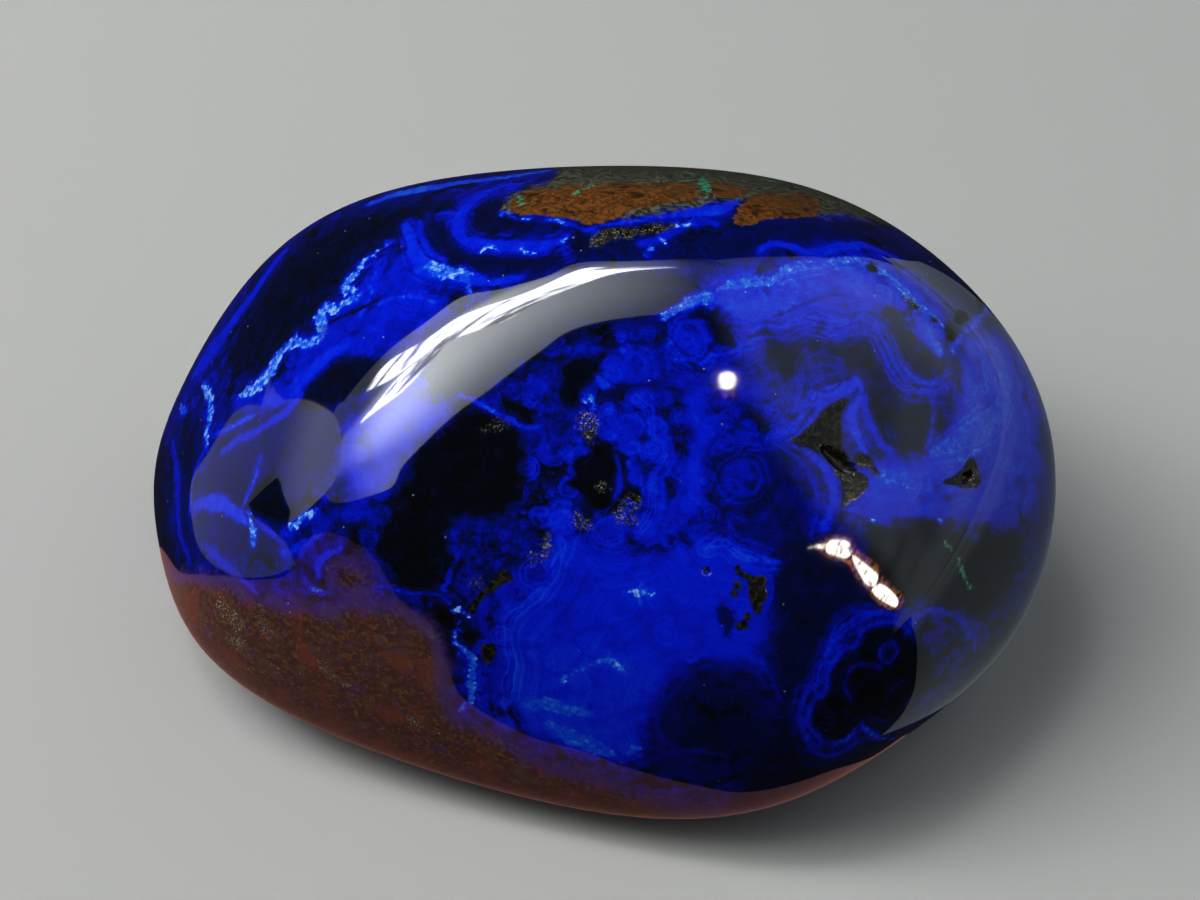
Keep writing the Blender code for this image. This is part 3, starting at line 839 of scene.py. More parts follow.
# %% Draw the hidden marks
BEHIND = 30.0  # mm of surface from the rim to the far side, for each unit of the facing cosine
SEED = 1924
draw = np.random.default_rng(SEED)
HIDDEN_AREAS, HIDDEN_KNOBS, HIDDEN_VEINS = 34, 26, 30
HIDDEN_TONES = (0.1, 0.25, 0.4, 0.55, 0.62)
HIDDEN_SOFT = 1.6  # how much more gently than a crisp one a hidden patch fades
HIDDEN_MATRIX = (  # mineral, azimuth, elevation, radius in mm
    ("umber", -165, -38, 9.0),
    ("umber", -140, -52, 10.0),
    ("umber", -100, -48, 8.0),
    ("umber", 160, -60, 6.0),
    ("umber", 172, -28, 4.5),
    ("ochre", 84, 24, 6.5),
    ("ochre", 66, 12, 5.0),
    ("ochre", 100, 8, 3.5),
    ("umber", 58, -8, 4.5),
    ("umber", 20, -50, 6.0),
)


def drawn_spots(count):
    """Spots spread evenly over the directions, on the stone, mm from the heart."""
    azimuths = draw.uniform(-180, 180, count)
    return onto_surface(directions(azimuths, np.degrees(np.arcsin(draw.uniform(-1, 1, count)))))


radii, tones = draw.uniform(4, 11, HIDDEN_AREAS), draw.choice(HIDDEN_TONES, HIDDEN_AREAS)
hidden_areas = list(zip(drawn_spots(HIDDEN_AREAS), radii, tones))
radii, tones = draw.uniform(1.2, 4.6, HIDDEN_AREAS), draw.uniform(0.0, 0.16, HIDDEN_AREAS)
hidden_patches = list(zip(drawn_spots(HIDDEN_AREAS), radii, tones))
hidden_knobs = list(zip(drawn_spots(HIDDEN_KNOBS), draw.uniform(0.6, 3.4, HIDDEN_KNOBS)))
hidden_veins = []
for start in drawn_spots(HIDDEN_VEINS):
    spots, heading = [start], draw.normal(size=3)
    for _ in range(draw.integers(6, 15)):
        heading += 0.75 * draw.normal(size=3)
        outward = normals_at(spots[-1])
        heading -= (heading @ outward) * outward
        heading /= np.linalg.norm(heading)
        spots.append(onto_surface(spots[-1] + 1.3 * heading))
    spread = np.sin(np.linspace(0.15, np.pi - 0.05, len(spots))) * draw.uniform(0.15, 0.75)
    curve = rounded(np.column_stack([np.array(spots), spread]), False)
    halves = np.maximum(curve[:, 3], 0.08) / 2
    hidden_veins.append((onto_surface(curve[:, :3]), halves, draw.uniform(0.55, 0.9)))
hidden_matrix = [
    (mineral, onto_surface(directions(azimuth, elevation)), radius)
    for mineral, azimuth, elevation, radius in HIDDEN_MATRIX
]
print("hidden marks:", len(hidden_areas), "areas,", len(hidden_knobs), "knobs,", len(hidden_veins), "veins")

# %% The map at any points of the stone
SEEN_RUNS = {row[0]: seen_run(row[2]) for row in LINES}
SEEN_GREEN = {row[0]: seen_run(row[1]) for row in MALACHITE}
SEEN_GRAINS = {row[0]: seen_run(row[2]) for row in GRAINS}
BEAD_PLACES = {row[0]: seen_at([(row[1], row[2])])[0] for row in BEADS}
GUIDES = (  # lines from which growth bands spread, with the distance at which they start
    ("scallop, first", 0.0),
    ("scallop, second", 0.0),
    ("low scallop of the beads", 0.0),
    ("ring around the beads", 0.0),
    ("lower loop, outer", 0.0),
    ("scallop in the field", 0.0),
    ("lower loop, right arch", 0.0),
    ("outer ring in the eye", 0.7),
    ("crescent by the vug", 0.0),
    ("turquoise vein, middle", 0.2),
    ("left loop", 0.3),
    ("top loop", 0.2),
    ("left rim vein", 0.2),
    ("band on the right cheek", 0.2),
)
BLOB_LUMPS = 4.0  # mm, the size of the lumps in a hidden area's outline


def blob(where, lumps, middle, radius):
    """Depth inside a lumpy round area."""
    return radius * (1 + 0.5 * lumps) - np.linalg.norm(where - middle, axis=1)


def rock_map(where):
    """Every field of the map, one value for each point, as a dictionary."""
    moved = wobbled(where)
    flat = pixels_of(moved)
    lumps = np.array([noise.fractal(Vector(spot / BLOB_LUMPS), 1.0, 2.0, 3) for spot in where])
    toward = eye - where
    cosine = (normals_at(where) * toward).sum(1) / np.linalg.norm(toward, axis=1)
    beyond, before = BEHIND * np.maximum(0, -cosine), BEHIND * np.maximum(0, cosine)
    flat[beyond > FAR * 1.5] = -9999
    fields = {}

    tone, busy = np.full(len(where), 0.34), np.full(len(where), 0.7)
    for middle, radius, value in hidden_areas:
        share = smooth_step(0.5 + (blob(moved, lumps, middle, radius) - before) / 2.4)
        tone += (value - tone) * share
    for _, value, stir, soft, corners in WASHES:
        share = smooth_step(0.5 + area_depth(flat, beyond, corners) / soft)
        tone += (value - tone) * share
        busy += (stir - busy) * share
    fields.update(tone=tone, busy=busy)

    patch, patch_tone = np.full(len(where), -FAR), tone.copy()
    for middle, radius, value in hidden_patches:
        depth = (blob(moved, lumps, middle, radius) - before) / HIDDEN_SOFT
        patch_tone[depth > np.minimum(patch, 0)] = value
        patch = np.maximum(patch, depth)
    for _, value, soft, corners in PATCHES:
        depth = area_depth(flat, beyond, corners) / soft
        patch_tone[depth > np.minimum(patch, 0)] = value
        patch = np.maximum(patch, depth)
    line, line_tone = np.full(len(where), -FAR), np.full(len(where), 0.6)
    along, growth = np.zeros(len(where)), np.full(len(where), 2 * FAR)
    starts = dict(GUIDES)
    runs = [(name, value, 0, *SEEN_RUNS[name]) for name, value, _ in LINES]
    runs += [("hidden", value, before, spots, halves) for spots, halves, value in hidden_veins]
    for name, value, hold_back, spots, halves in runs:
        depth, place = run_depth(moved, spots, halves)
        depth = depth - hold_back
        chosen = depth > np.minimum(line, 0)
        line_tone[chosen] = value
        along[depth > line] = place[depth > line]
        line = np.maximum(line, depth)
        if name in starts:
            growth = np.minimum(growth, starts[name] - depth)
    for middle, radius in hidden_knobs:
        off = np.linalg.norm(moved - middle, axis=1) + before
        growth = np.minimum(growth, np.abs(off - radius))
    for name, _, _, radius, rim, middle in BEADS:
        off = np.linalg.norm(moved - BEAD_PLACES[name], axis=1)
        radius = radius / PIXELS_PER_MM
        ring = 0.11 - np.abs(off - radius)
        patch_tone[off < radius] = middle
        patch = np.maximum(patch, radius - off)
        line_tone[ring > np.minimum(line, 0)] = rim
        line = np.maximum(line, ring)
        growth = np.minimum(growth, np.maximum(off - radius, 0))
    fields.update(patch=patch, patch_tone=patch_tone, growth=growth)
    fields.update(line=line, line_tone=line_tone, along=along)

    # the painted rim reflection is laid out the way the matrix areas are
    for mineral in ("umber", "ochre", "painted_rim_reflection"):
        depth = np.full(len(where), -FAR)
        for kind, corners in MATRIX:
            if kind == mineral:
                depth = np.maximum(depth, area_depth(flat, beyond, corners))
        for kind, middle, radius in hidden_matrix:
            if kind == mineral:
                depth = np.maximum(depth, blob(moved, lumps, middle, radius) - before)
        fields[mineral] = depth
    olive = np.full(len(where), -FAR)
    for _, corners in OLIVE:
        olive = np.maximum(olive, area_depth(flat, beyond, corners))
    green = np.full(len(where), -FAR)
    for name, _ in MALACHITE:
        green = np.maximum(green, run_depth(moved, *SEEN_GREEN[name])[0])
    grain, grain_share = np.full(len(where), -FAR), np.zeros(len(where))
    for name, share, _ in GRAINS:
        depth = run_depth(moved, *SEEN_GRAINS[name])[0]
        grain_share[depth > grain] = share
        grain = np.maximum(grain, depth)
    fields.update(olive=olive, green=green, grain=grain, grain_share=grain_share)
    fields["vug"] = vug_shares(where)[1]
    return fields


print("marks on the map:", len(WASHES) + len(PATCHES) + len(LINES) + len(BEADS) + len(MATRIX))

# %% [markdown]
# ## One dense skin
#
# The skin starts as an icosphere and is pushed onto the ground form. A ring two tenths of a
# millimetre wide needs points closer than that, and the plain fields between the rings don't, so
# only edges near the edge of a mark are halved, and then halved again.

# %% Make the mesh
BALL_SUBDIVISIONS = 6
REFINING = (  # halve edges longer than this, this near to the edge of one of these marks, mm
    (0.60, 0.80, ("patch", "line", "umber", "ochre", "painted_rim_reflection", "olive", "green", "grain", "vug")),
    (0.30, 0.36, ("line", "ochre", "olive", "green", "grain", "vug")),
    (0.16, 0.14, ("line", "olive", "green", "vug")),
)

skin = bmesh.new()
bmesh.ops.create_icosphere(skin, subdivisions=BALL_SUBDIVISIONS, radius=1.0)


def settle(shape):
    """Puts every vertex on the stone, in mm from the heart, with the underside ground level."""
    where = onto_surface(np.array([vert.co for vert in shape.verts]))
    where[:, 2] = np.maximum(where[:, 2], FOOT)
    for vert, spot in zip(shape.verts, where):
        vert.co = spot
    return where


points = settle(skin)
for longest, nearness, edge_fields in REFINING:
    edges = list(skin.edges)
    ends = np.array([(edge.verts[0].index, edge.verts[1].index) for edge in edges])
    lengths = np.linalg.norm(points[ends[:, 0]] - points[ends[:, 1]], axis=1)
    long = np.flatnonzero(lengths > longest)
    fields = rock_map(points[ends[long]].mean(1))
    nearest = np.min([np.abs(fields[name]) for name in edge_fields], axis=0)
    chosen = [edges[index] for index in long[nearest < nearness]]
    bmesh.ops.subdivide_edges(skin, edges=chosen, cuts=1, use_grid_fill=True)
    bmesh.ops.triangulate(skin, faces=[face for face in skin.faces if len(face.verts) > 3])
    skin.verts.index_update()
    points = settle(skin)
    print("halved", len(chosen), "edges:", len(skin.faces), "triangles")

# %% Read the map, then sink the vugs
fields = rock_map(points)
sink, _ = vug_shares(points)
outward = normals_at(points)
outward[points[:, 2] <= FOOT + 1e-6] = (0, 0, -1)
sunk = np.flatnonzero(sink > 0)
skin.verts.ensure_lookup_table()
for index in sunk:
    crystals = noise.noise(Vector(points[index] / CRYSTAL_SIZE))
    skin.verts[index].co = points[index] - outward[index] * sink[index] * (0.85 + 0.3 * crystals)
skin.normal_update()
walls = np.flatnonzero(fields["vug"] > -0.12)
outward[walls] = [skin.verts[index].normal for index in walls]
print("points in the vugs:", len(sunk))

# %% Put the map on the mesh
mesh = bpy.data.meshes.new("azurite_stone_skin")
skin.to_mesh(mesh)
skin.free()
for name, values in fields.items():
    layer = mesh.attributes.new(name, "FLOAT", "POINT")
    layer.data.foreach_set("value", values.astype(np.float32))
mesh.transform(Matrix.Translation(heart) @ Matrix.Scale(MM, 4))
mesh.shade_smooth()
mesh.normals_split_custom_set_from_vertices([tuple(normal) for normal in outward])
stone = bpy.data.objects.new("azurite_stone_skin", mesh)
bpy.context.scene.collection.objects.link(stone)
print("fields:", ", ".join(fields))

# %% [markdown]
# ## Polished azurite
#
# Azurite is a copper carbonate, soft enough to take a mirror polish. One material carries the whole
# stone: it reads the depths from the mesh, adds noise to each of them before it cuts the edge, and
# lays the minerals over one another as a polisher would see them.

# %% A helper for nodes and one for colours
material = bpy.data.materials.new("polished_azurite")
material.use_nodes = True
tree = material.node_tree
shader = tree.nodes["Principled BSDF"]


def add(kind, inputs, output=0, **settings):
    """Adds one node, sets or links its inputs, and returns one of its outputs."""
    made = tree.nodes.new(kind)
    for name, value in settings.items():
        setattr(made, name, value)
    for key, value in inputs.items():
        if isinstance(value, bpy.types.NodeSocket):
            tree.links.new(value, made.inputs[key])
        else:
            made.inputs[key].default_value = value
    return made.outputs[output]


def linear(hex_colour):
    """A colour written as #rrggbb, as the linear values that a socket takes."""
    shares = [int(hex_colour[place : place + 2], 16) / 255 for place in (1, 3, 5)]
    return tuple(s / 12.92 if s <= 0.04045 else ((s + 0.055) / 1.055) ** 2.4 for s in shares) + (1.0,)


RANGE = "ShaderNodeMapRange"  # its inputs: 0 the value, 1 and 2 the range it has, 3 and 4 the new one
SOFT = {"interpolation_type": "SMOOTHSTEP"}
print("material:", material.name)

# %% Noise at the sizes that the rock has
NOISES = (  # name, size of its blobs in mm, detail, roughness
    ("broad", 3.5, 3.0, 0.5),
    ("blotch", 1.1, 3.0, 0.6),
    ("ragged", 1.4, 5.0, 0.62),
    ("crumb", 0.42, 2.0, 0.6),
    ("fine", 0.17, 1.0, 0.5),
    ("cracks", 1.9, 3.0, 0.55),
    ("threads", 2.6, 4.0, 0.6),
)
here = add("ShaderNodeTexCoord", {}, "Object")
noises = {}
for name, size, detail, rough in NOISES:
    grain_of = {"Vector": here, "Scale": 1 / (size * MM), "Detail": detail, "Roughness": rough}
    noises[name] = add("ShaderNodeTexNoise", grain_of)
rock = {name: add("ShaderNodeAttribute", {}, "Fac", attribute_name=name) for name in fields}
print("noises, mm:", {name: size for name, size, _, _ in NOISES})


def swayed(value, by, reach):
    """The value moved up and down by one of the noises, by up to half this reach each way."""
    away = add("ShaderNodeMath", {0: noises[by], 1: 0.5}, operation="SUBTRACT")
    return add("ShaderNodeMath", {0: away, 1: reach, 2: value}, operation="MULTIPLY_ADD")

# %% [markdown]
# ## Growth bands, cracks and veins
#
# Azurite grows outward in skins, like an agate, so its bands follow the shape that they grew on. A
# one-dimensional noise along the distance from that shape gives skins of uneven thickness. Cracks
# and threads are the places where a noise passes one half, which are thin closed lines.

# %% The tone of the azurite
BAND_MM = 0.42  # mean thickness of a growth band
ring_place = add("ShaderNodeMath", {0: rock["growth"], 1: 1 / BAND_MM}, operation="MULTIPLY")
bands = add(
    "ShaderNodeTexNoise",
    {"W": swayed(ring_place, "broad", 3.0), "Scale": 1.0, "Detail": 3.0, "Roughness": 0.75},
    noise_dimensions="1D",
)
band_gain = add(RANGE, {0: rock["growth"], 1: 0.0, 2: 3.2, 3: 0.62, 4: 0.16}, **SOFT)
band_off = add("ShaderNodeMath", {0: bands, 1: 0.5}, operation="SUBTRACT")
tone = add("ShaderNodeMath", {0: band_off, 1: band_gain, 2: rock["tone"]}, operation="MULTIPLY_ADD")
for name, gain in (("ragged", 0.7), ("blotch", 0.45), ("crumb", 0.38)):
    away = add("ShaderNodeMath", {0: noises[name], 1: 0.5}, operation="SUBTRACT")
    stir = add("ShaderNodeMath", {0: rock["busy"], 1: gain}, operation="MULTIPLY")
    tone = add("ShaderNodeMath", {0: away, 1: stir, 2: tone}, operation="MULTIPLY_ADD")

print("growth bands, mm:", BAND_MM)

# %% [markdown]
# ## Knobs, cracks and dark patches
#
# Unruly rock is a heap of pea-like knobs, which grew one against another. A cell pattern gives
# their places, its distance gives the skins of each, and its far corners give the dark seams
# between them. The coordinates are bent by a noise first, because cells alone look like a net.

# %% Small round knobs in the unruly rock, each with skins of its own and a dark seam round it
KNOB_MM = 1.7  # mean distance between the middles of two knobs
uneven = add("ShaderNodeTexNoise", {"Vector": here, "Scale": 1 / (2.0 * MM), "Detail": 2.0}, "Color")
bent = add("ShaderNodeVectorMath", {0: uneven, 1: (0.9 * MM,) * 3, 2: here}, operation="MULTIPLY_ADD")
knobs = add("ShaderNodeTexVoronoi", {"Vector": bent, "Scale": 1 / (KNOB_MM * MM)}, "Distance")
own = add("ShaderNodeSeparateColor", {0: knobs.node.outputs["Color"]})
skin_place = add(
    "ShaderNodeMath", {0: own, 1: 40.0, 2: swayed(knobs, "crumb", 0.12)}, operation="MULTIPLY_ADD"
)
skins = add(
    "ShaderNodeTexNoise",
    {"W": skin_place, "Scale": 6.5, "Detail": 2.0, "Roughness": 0.7},
    noise_dimensions="1D",
)
skin_off = add("ShaderNodeMath", {0: skins, 1: 0.5}, operation="SUBTRACT")
seam = add(RANGE, {0: swayed(knobs, "crumb", 0.2), 1: 0.44, 2: 0.7, 3: 0.06, 4: -0.3}, **SOFT)
knob_tone = add("ShaderNodeMath", {0: skin_off, 1: 0.55, 2: seam}, operation="MULTIPLY_ADD")
knobbly = add(
    "ShaderNodeMath",
    {0: add(RANGE, {0: noises["broad"], 1: 0.42, 2: 0.56}, **SOFT), 1: rock["busy"]},
    operation="MULTIPLY",
)
tone = add("ShaderNodeMath", {0: knob_tone, 1: knobbly, 2: tone}, operation="MULTIPLY_ADD")
crack_off = add("ShaderNodeMath", {0: noises["cracks"], 1: 0.5}, operation="SUBTRACT")
crack = add(
    RANGE,
    {0: add("ShaderNodeMath", {0: crack_off}, operation="ABSOLUTE"), 1: 0.0, 2: 0.03, 3: -0.14, 4: 0.0},
    **SOFT,
)
tone = add("ShaderNodeMath", {0: crack, 1: knobbly, 2: tone}, operation="MULTIPLY_ADD")
print("knobs, mm:", KNOB_MM)

# %% Dark patches with a few blue threads in them
thread_off = add("ShaderNodeMath", {0: noises["threads"], 1: 0.5}, operation="SUBTRACT")
thread = add(
    RANGE,
    {0: add("ShaderNodeMath", {0: thread_off}, operation="ABSOLUTE"), 1: 0.0, 2: 0.013, 3: 0.16, 4: 0.0},
    **SOFT,
)
where_threads = add(RANGE, {0: noises["broad"], 1: 0.48, 2: 0.6}, **SOFT)
patch_tone = swayed(swayed(rock["patch_tone"], "blotch", 0.16), "ragged", 0.22)
patch_tone = add("ShaderNodeMath", {0: thread, 1: where_threads, 2: patch_tone}, operation="MULTIPLY_ADD")
patch_edge = swayed(swayed(swayed(rock["patch"], "ragged", 2.2), "crumb", 0.8), "fine", 0.3)
in_patch = add(RANGE, {0: patch_edge, 1: -0.32, 2: 0.34}, **SOFT)
tone = add("ShaderNodeMix", {"Factor": in_patch, "A": tone, "B": patch_tone}, data_type="FLOAT")
print("nodes so far:", len(tree.nodes))

# %% Thin bright skins beside the guides that the growth follows
skin_line = add(RANGE, {0: bands, 1: 0.53, 2: 0.68, 3: 0.0, 4: 0.2}, **SOFT)
by_guide = add(RANGE, {0: rock["growth"], 1: 0.2, 2: 2.8, 3: 1.0, 4: 0.0}, **SOFT)
tone = add("ShaderNodeMath", {0: skin_line, 1: by_guide, 2: tone}, operation="MULTIPLY_ADD")

# %% [markdown]
# ## Veins
#
# A vein is a crack that filled with fibres, which grew straight across it, and the rock beside it
# is a little finer and so a little brighter. The length along each vein drives a one-dimensional
# noise for the fibres. The brightest veins are the loosest: they break up into crumbs of crystal.

# %% Veins, with a halo of finer crystals and fibres across them
halo = add(
    RANGE,
    {0: swayed(swayed(rock["line"], "ragged", 0.9), "crumb", 0.4), 1: -0.6, 2: 0.06, 3: 0.0, 4: 0.28},
    **SOFT,
)
tone = add("ShaderNodeMix", {"Factor": halo, "A": tone, "B": rock["line_tone"]}, data_type="FLOAT")
FIBRE_MM = 0.12
fibre_place = add("ShaderNodeMath", {0: rock["along"], 1: 1 / FIBRE_MM}, operation="MULTIPLY")
fibres = add(
    "ShaderNodeTexNoise",
    {"W": swayed(swayed(fibre_place, "ragged", 14.0), "crumb", 5.0), "Scale": 1.0, "Detail": 1.0},
    noise_dimensions="1D",
)
fibre_off = add("ShaderNodeMath", {0: fibres, 1: 0.5}, operation="SUBTRACT")
line_tone = add("ShaderNodeMath", {0: fibre_off, 1: 0.2, 2: rock["line_tone"]}, operation="MULTIPLY_ADD")
crumb_off = add("ShaderNodeMath", {0: noises["crumb"], 1: 0.5}, operation="SUBTRACT")
sparkle = add(RANGE, {0: rock["line_tone"], 1: 0.66, 2: 0.92, 3: 0.08, 4: 0.8}, **SOFT)
line_tone = add("ShaderNodeMath", {0: crumb_off, 1: sparkle, 2: line_tone}, operation="MULTIPLY_ADD")
line_tone = swayed(line_tone, "blotch", 0.42)
line_edge = swayed(swayed(swayed(rock["line"], "ragged", 0.45), "crumb", 0.32), "fine", 0.12)
blotch_off = add("ShaderNodeMath", {0: noises["blotch"], 1: 0.5}, operation="SUBTRACT")
loose = add("ShaderNodeMath", {0: crumb_off, 1: blotch_off}, operation="ADD")
line_edge = add("ShaderNodeMath", {0: loose, 1: sparkle, 2: line_edge}, operation="MULTIPLY_ADD")
in_line = add(RANGE, {0: line_edge, 1: -0.12, 2: 0.18}, **SOFT)
tone = add("ShaderNodeMix", {"Factor": in_line, "A": tone, "B": line_tone}, data_type="FLOAT")
tone = swayed(tone, "fine", 0.14)
print("fibres, mm:", FIBRE_MM)

# %% Tone to colour
AZURITE = (
    (0.0, "#040406"),
    (0.08, "#040714"),
    (0.2, "#030a3c"),
    (0.32, "#030a62"),
    (0.45, "#030fa2"),
    (0.6, "#0318cc"),
    (0.72, "#072ed2"),
    (0.82, "#124ad6"),
    (0.92, "#2e72dc"),
    (1.0, "#86b4e6"),
)
ramp = add("ShaderNodeValToRGB", {"Fac": tone}, "Color")
stops = ramp.node.color_ramp.elements
stops[0].position, stops[0].color = AZURITE[0][0], linear(AZURITE[0][1])
stops[1].position, stops[1].color = AZURITE[-1][0], linear(AZURITE[-1][1])
for place, colour in AZURITE[1:-1]:
    stops.new(place).color = linear(colour)
print("azurite colours:", len(stops))

# %% [markdown]
# ## The other minerals
#
# Brown iron ore is what the azurite grew on. It is dull and fine grained, so it takes less polish.
# Olive and cream crystals line the vugs, and a dash of malachite sits on the right cheek.

# %% Lay the minerals, and the painted reflection on the top rim, over the azurite
MINERALS = (  # field, ragged by this noise and this many mm, edge in mm, dark, pale, mottled by, roughness
    # grey-olive along the top rim: a painted reflection of grey haze over dark rock
    ("painted_rim_reflection", "ragged", 2.0, 0.30, "#26281f", "#605f4c", "crumb", 0.08),
    ("umber", "ragged", 3.0, 0.80, "#0c0807", "#4a2c15", "crumb", 0.10),
    ("ochre", "ragged", 0.9, 0.10, "#4e2c11", "#74461c", "crumb", 0.12),
    ("olive", "ragged", 0.9, 0.14, "#030403", "#22231a", "crumb", 0.22),
    ("green", "crumb", 0.5, 0.14, "#0b5a3c", "#4f9674", "crumb", 0.12),
)
STAINS = (  # in this mineral, where this noise passes from low to high, colour, share
    ("umber", "broad", 0.50, 0.66, "#5a200d", 0.7),
    ("umber", "ragged", 0.52, 0.66, "#33331d", 0.65),
    ("umber", "blotch", 0.54, 0.72, "#241652", 0.55),
    ("umber", "verge", 0.15, 0.90, "#241a66", 0.80),
    ("umber", "crumb", 0.62, 0.74, "#5c5436", 0.35),
    ("ochre", "blotch", 0.54, 0.66, "#15120a", 0.85),
    ("ochre", "fine", 0.58, 0.74, "#0c0a06", 0.6),
    ("ochre", "broad", 0.55, 0.68, "#3a3414", 0.4),
    # dark rock and green malachite inside the painted rim reflection
    ("painted_rim_reflection", "blotch", 0.58, 0.68, "#0f3a26", 0.5),
    ("painted_rim_reflection", "ragged", 0.56, 0.68, "#0c0d0a", 0.7),
)
VERGE_MM = 2.0  # how far the blue of the azurite reaches into the umber
verge = add(RANGE, {0: rock["umber"], 1: 0.0, 2: VERGE_MM, 3: 1.0, 4: 0.0}, **SOFT)
mottles = {**noises, "verge": swayed(swayed(verge, "ragged", 0.9), "crumb", 0.7)}
POLISH = 0.035
colour, roughness, insides = ramp, POLISH, {}
for name, noise_name, reach, edge, dark, pale, mottle, rough in MINERALS:
    insides[name] = inside = add(
        RANGE, {0: swayed(swayed(rock[name], noise_name, reach), "crumb", 0.4), 1: -edge, 2: edge}, **SOFT
    )
    mottled = add(
        "ShaderNodeMix",
        {0: add(RANGE, {0: noises[mottle], 1: 0.38, 2: 0.70}, **SOFT), 6: linear(dark), 7: linear(pale)},
        2,
        data_type="RGBA",
    )
    for mineral, stain_noise, low, high, stain, share in STAINS:
        if mineral == name:
            stained = add(RANGE, {0: mottles[stain_noise], 1: low, 2: high, 3: 0.0, 4: share}, **SOFT)
            mottled = add("ShaderNodeMix", {0: stained, 6: mottled, 7: linear(stain)}, 2, data_type="RGBA")
    colour = add("ShaderNodeMix", {0: inside, 6: colour, 7: mottled}, 2, data_type="RGBA")
    roughness = add("ShaderNodeMix", {"Factor": inside, "A": roughness, "B": rough}, data_type="FLOAT")
print("minerals:", ", ".join(insides))

# %% Grains, dust and the dark inside the vugs
GRIT_MM = 0.15
grit = add(
    "ShaderNodeTexNoise", {"Vector": here, "Scale": 1 / (GRIT_MM * MM), "Detail": 2.0, "Roughness": 0.7}
)
in_grain = add(
    RANGE, {0: swayed(swayed(rock["grain"], "ragged", 1.6), "crumb", 0.8), 1: -0.3, 2: 0.3}, **SOFT
)
kept = add("ShaderNodeMath", {0: in_grain, 1: rock["grain_share"]}, operation="MULTIPLY")
husk = add(
    "ShaderNodeMath",
    {0: kept, 1: add(RANGE, {0: noises["crumb"], 1: 0.42, 2: 0.6}, **SOFT)},
    operation="MULTIPLY",
)
colour = add("ShaderNodeMix", {0: husk, 6: colour, 7: linear("#24251a")}, 2, data_type="RGBA")
grains = add(
    "ShaderNodeMath", {0: kept, 1: add(RANGE, {0: grit, 1: 0.54, 2: 0.66}, **SOFT)}, operation="MULTIPLY"
)
cream = add(
    "ShaderNodeMix", {0: noises["blotch"], 6: linear("#4c4c30"), 7: linear("#c6c2a4")}, 2, data_type="RGBA"
)
colour = add("ShaderNodeMix", {0: grains, 6: colour, 7: cream}, 2, data_type="RGBA")
DUST_MM = 2.2  # mean distance between specks, counted through the depth of the stone too
speck = add("ShaderNodeTexVoronoi", {"Vector": here, "Scale": 1 / (DUST_MM * MM)}, "Distance")
dust = add(RANGE, {0: speck, 1: 0.026, 2: 0.044, 3: 0.7, 4: 0.0}, **SOFT)
colour = add("ShaderNodeMix", {0: dust, 6: colour, 7: linear("#7d86b4")}, 2, data_type="RGBA")
in_vug = add(RANGE, {0: rock["vug"], 1: 0.02, 2: 0.16, 3: 0.0, 4: 0.85}, **SOFT)
colour = add("ShaderNodeMix", {0: in_vug, 6: colour, 7: linear("#050607")}, 2, data_type="RGBA")
roughness = add("ShaderNodeMix", {"Factor": in_vug, "A": roughness, "B": 0.5}, data_type="FLOAT")
shine = add("ShaderNodeMix", {"Factor": insides["olive"], "A": 0.5, "B": 0.22}, data_type="FLOAT")
relief = add(RANGE, {0: swayed(rock["olive"], "crumb", 0.5), 1: -0.05, 2: 0.2}, **SOFT)
relief = add("ShaderNodeMath", {0: relief, 1: noises["crumb"]}, operation="MULTIPLY")
bump = add("ShaderNodeBump", {"Height": relief, "Strength": 0.2, "Distance": 0.12 * MM})

# %% Link it all to the shader
tree.links.new(colour, shader.inputs["Base Color"])
tree.links.new(roughness, shader.inputs["Roughness"])
tree.links.new(bump, shader.inputs["Normal"])
tree.links.new(shine, shader.inputs["Specular IOR Level"])
shader.inputs["IOR"].default_value = 1.62  # azurite has 1.73 to 1.84; a hand polish mirrors a little less
mesh.materials.append(material)
print("nodes in the stone's material:", len(tree.nodes))

# %% [markdown]
# ## The floor
#
# Plain pale paper lies under the stone. A polished stone would mirror it all round its lower half
# as one grey veil, so the paper is left out of the mirror images, and cards of light take its place
# where a reflection is wanted.

# %% Paper on the floor
FLOOR_REACH = 6.0  # m

floor_shape = bmesh.new()
bmesh.ops.create_circle(floor_shape, cap_ends=True, segments=96, radius=FLOOR_REACH)
floor_mesh = bpy.data.meshes.new("floor")
floor_shape.to_mesh(floor_mesh)
floor_shape.free()
floor = bpy.data.objects.new("floor", floor_mesh)
floor.visible_glossy = False
bpy.context.scene.collection.objects.link(floor)
paper = bpy.data.materials.new("pale_paper")
paper.use_nodes = True
paper_shader = paper.node_tree.nodes["Principled BSDF"]
paper_shader.inputs["Base Color"].default_value = linear("#b2b0ad")
paper_shader.inputs["Roughness"].default_value = 0.9
paper_shader.inputs["Specular IOR Level"].default_value = 0.1
floor_mesh.materials.append(paper)
print("floor, m across:", 2 * FLOOR_REACH)

# %% [markdown]
# ## Cards of light
#
# A polished stone shows whatever stands round it, so each card is placed where its mirror image is
# wanted: a window with a net curtain overhead, a dim wall to each side, a warm card low in front
# and two small lamps. A card gives light to the stone, but the camera doesn't see it.

# %% A glowing card
def glowing(name, colour):
    """A material that only gives light, and the socket that its strength goes to."""
    global tree
    made = bpy.data.materials.new(name)
    made.use_nodes = True
    tree = made.node_tree
    tree.nodes.remove(tree.nodes["Principled BSDF"])
    glow = add("ShaderNodeEmission", {"Color": linear(colour)})
    tree.links.new(glow, tree.nodes["Material Output"].inputs["Surface"])
    return made, glow.node.inputs["Strength"]


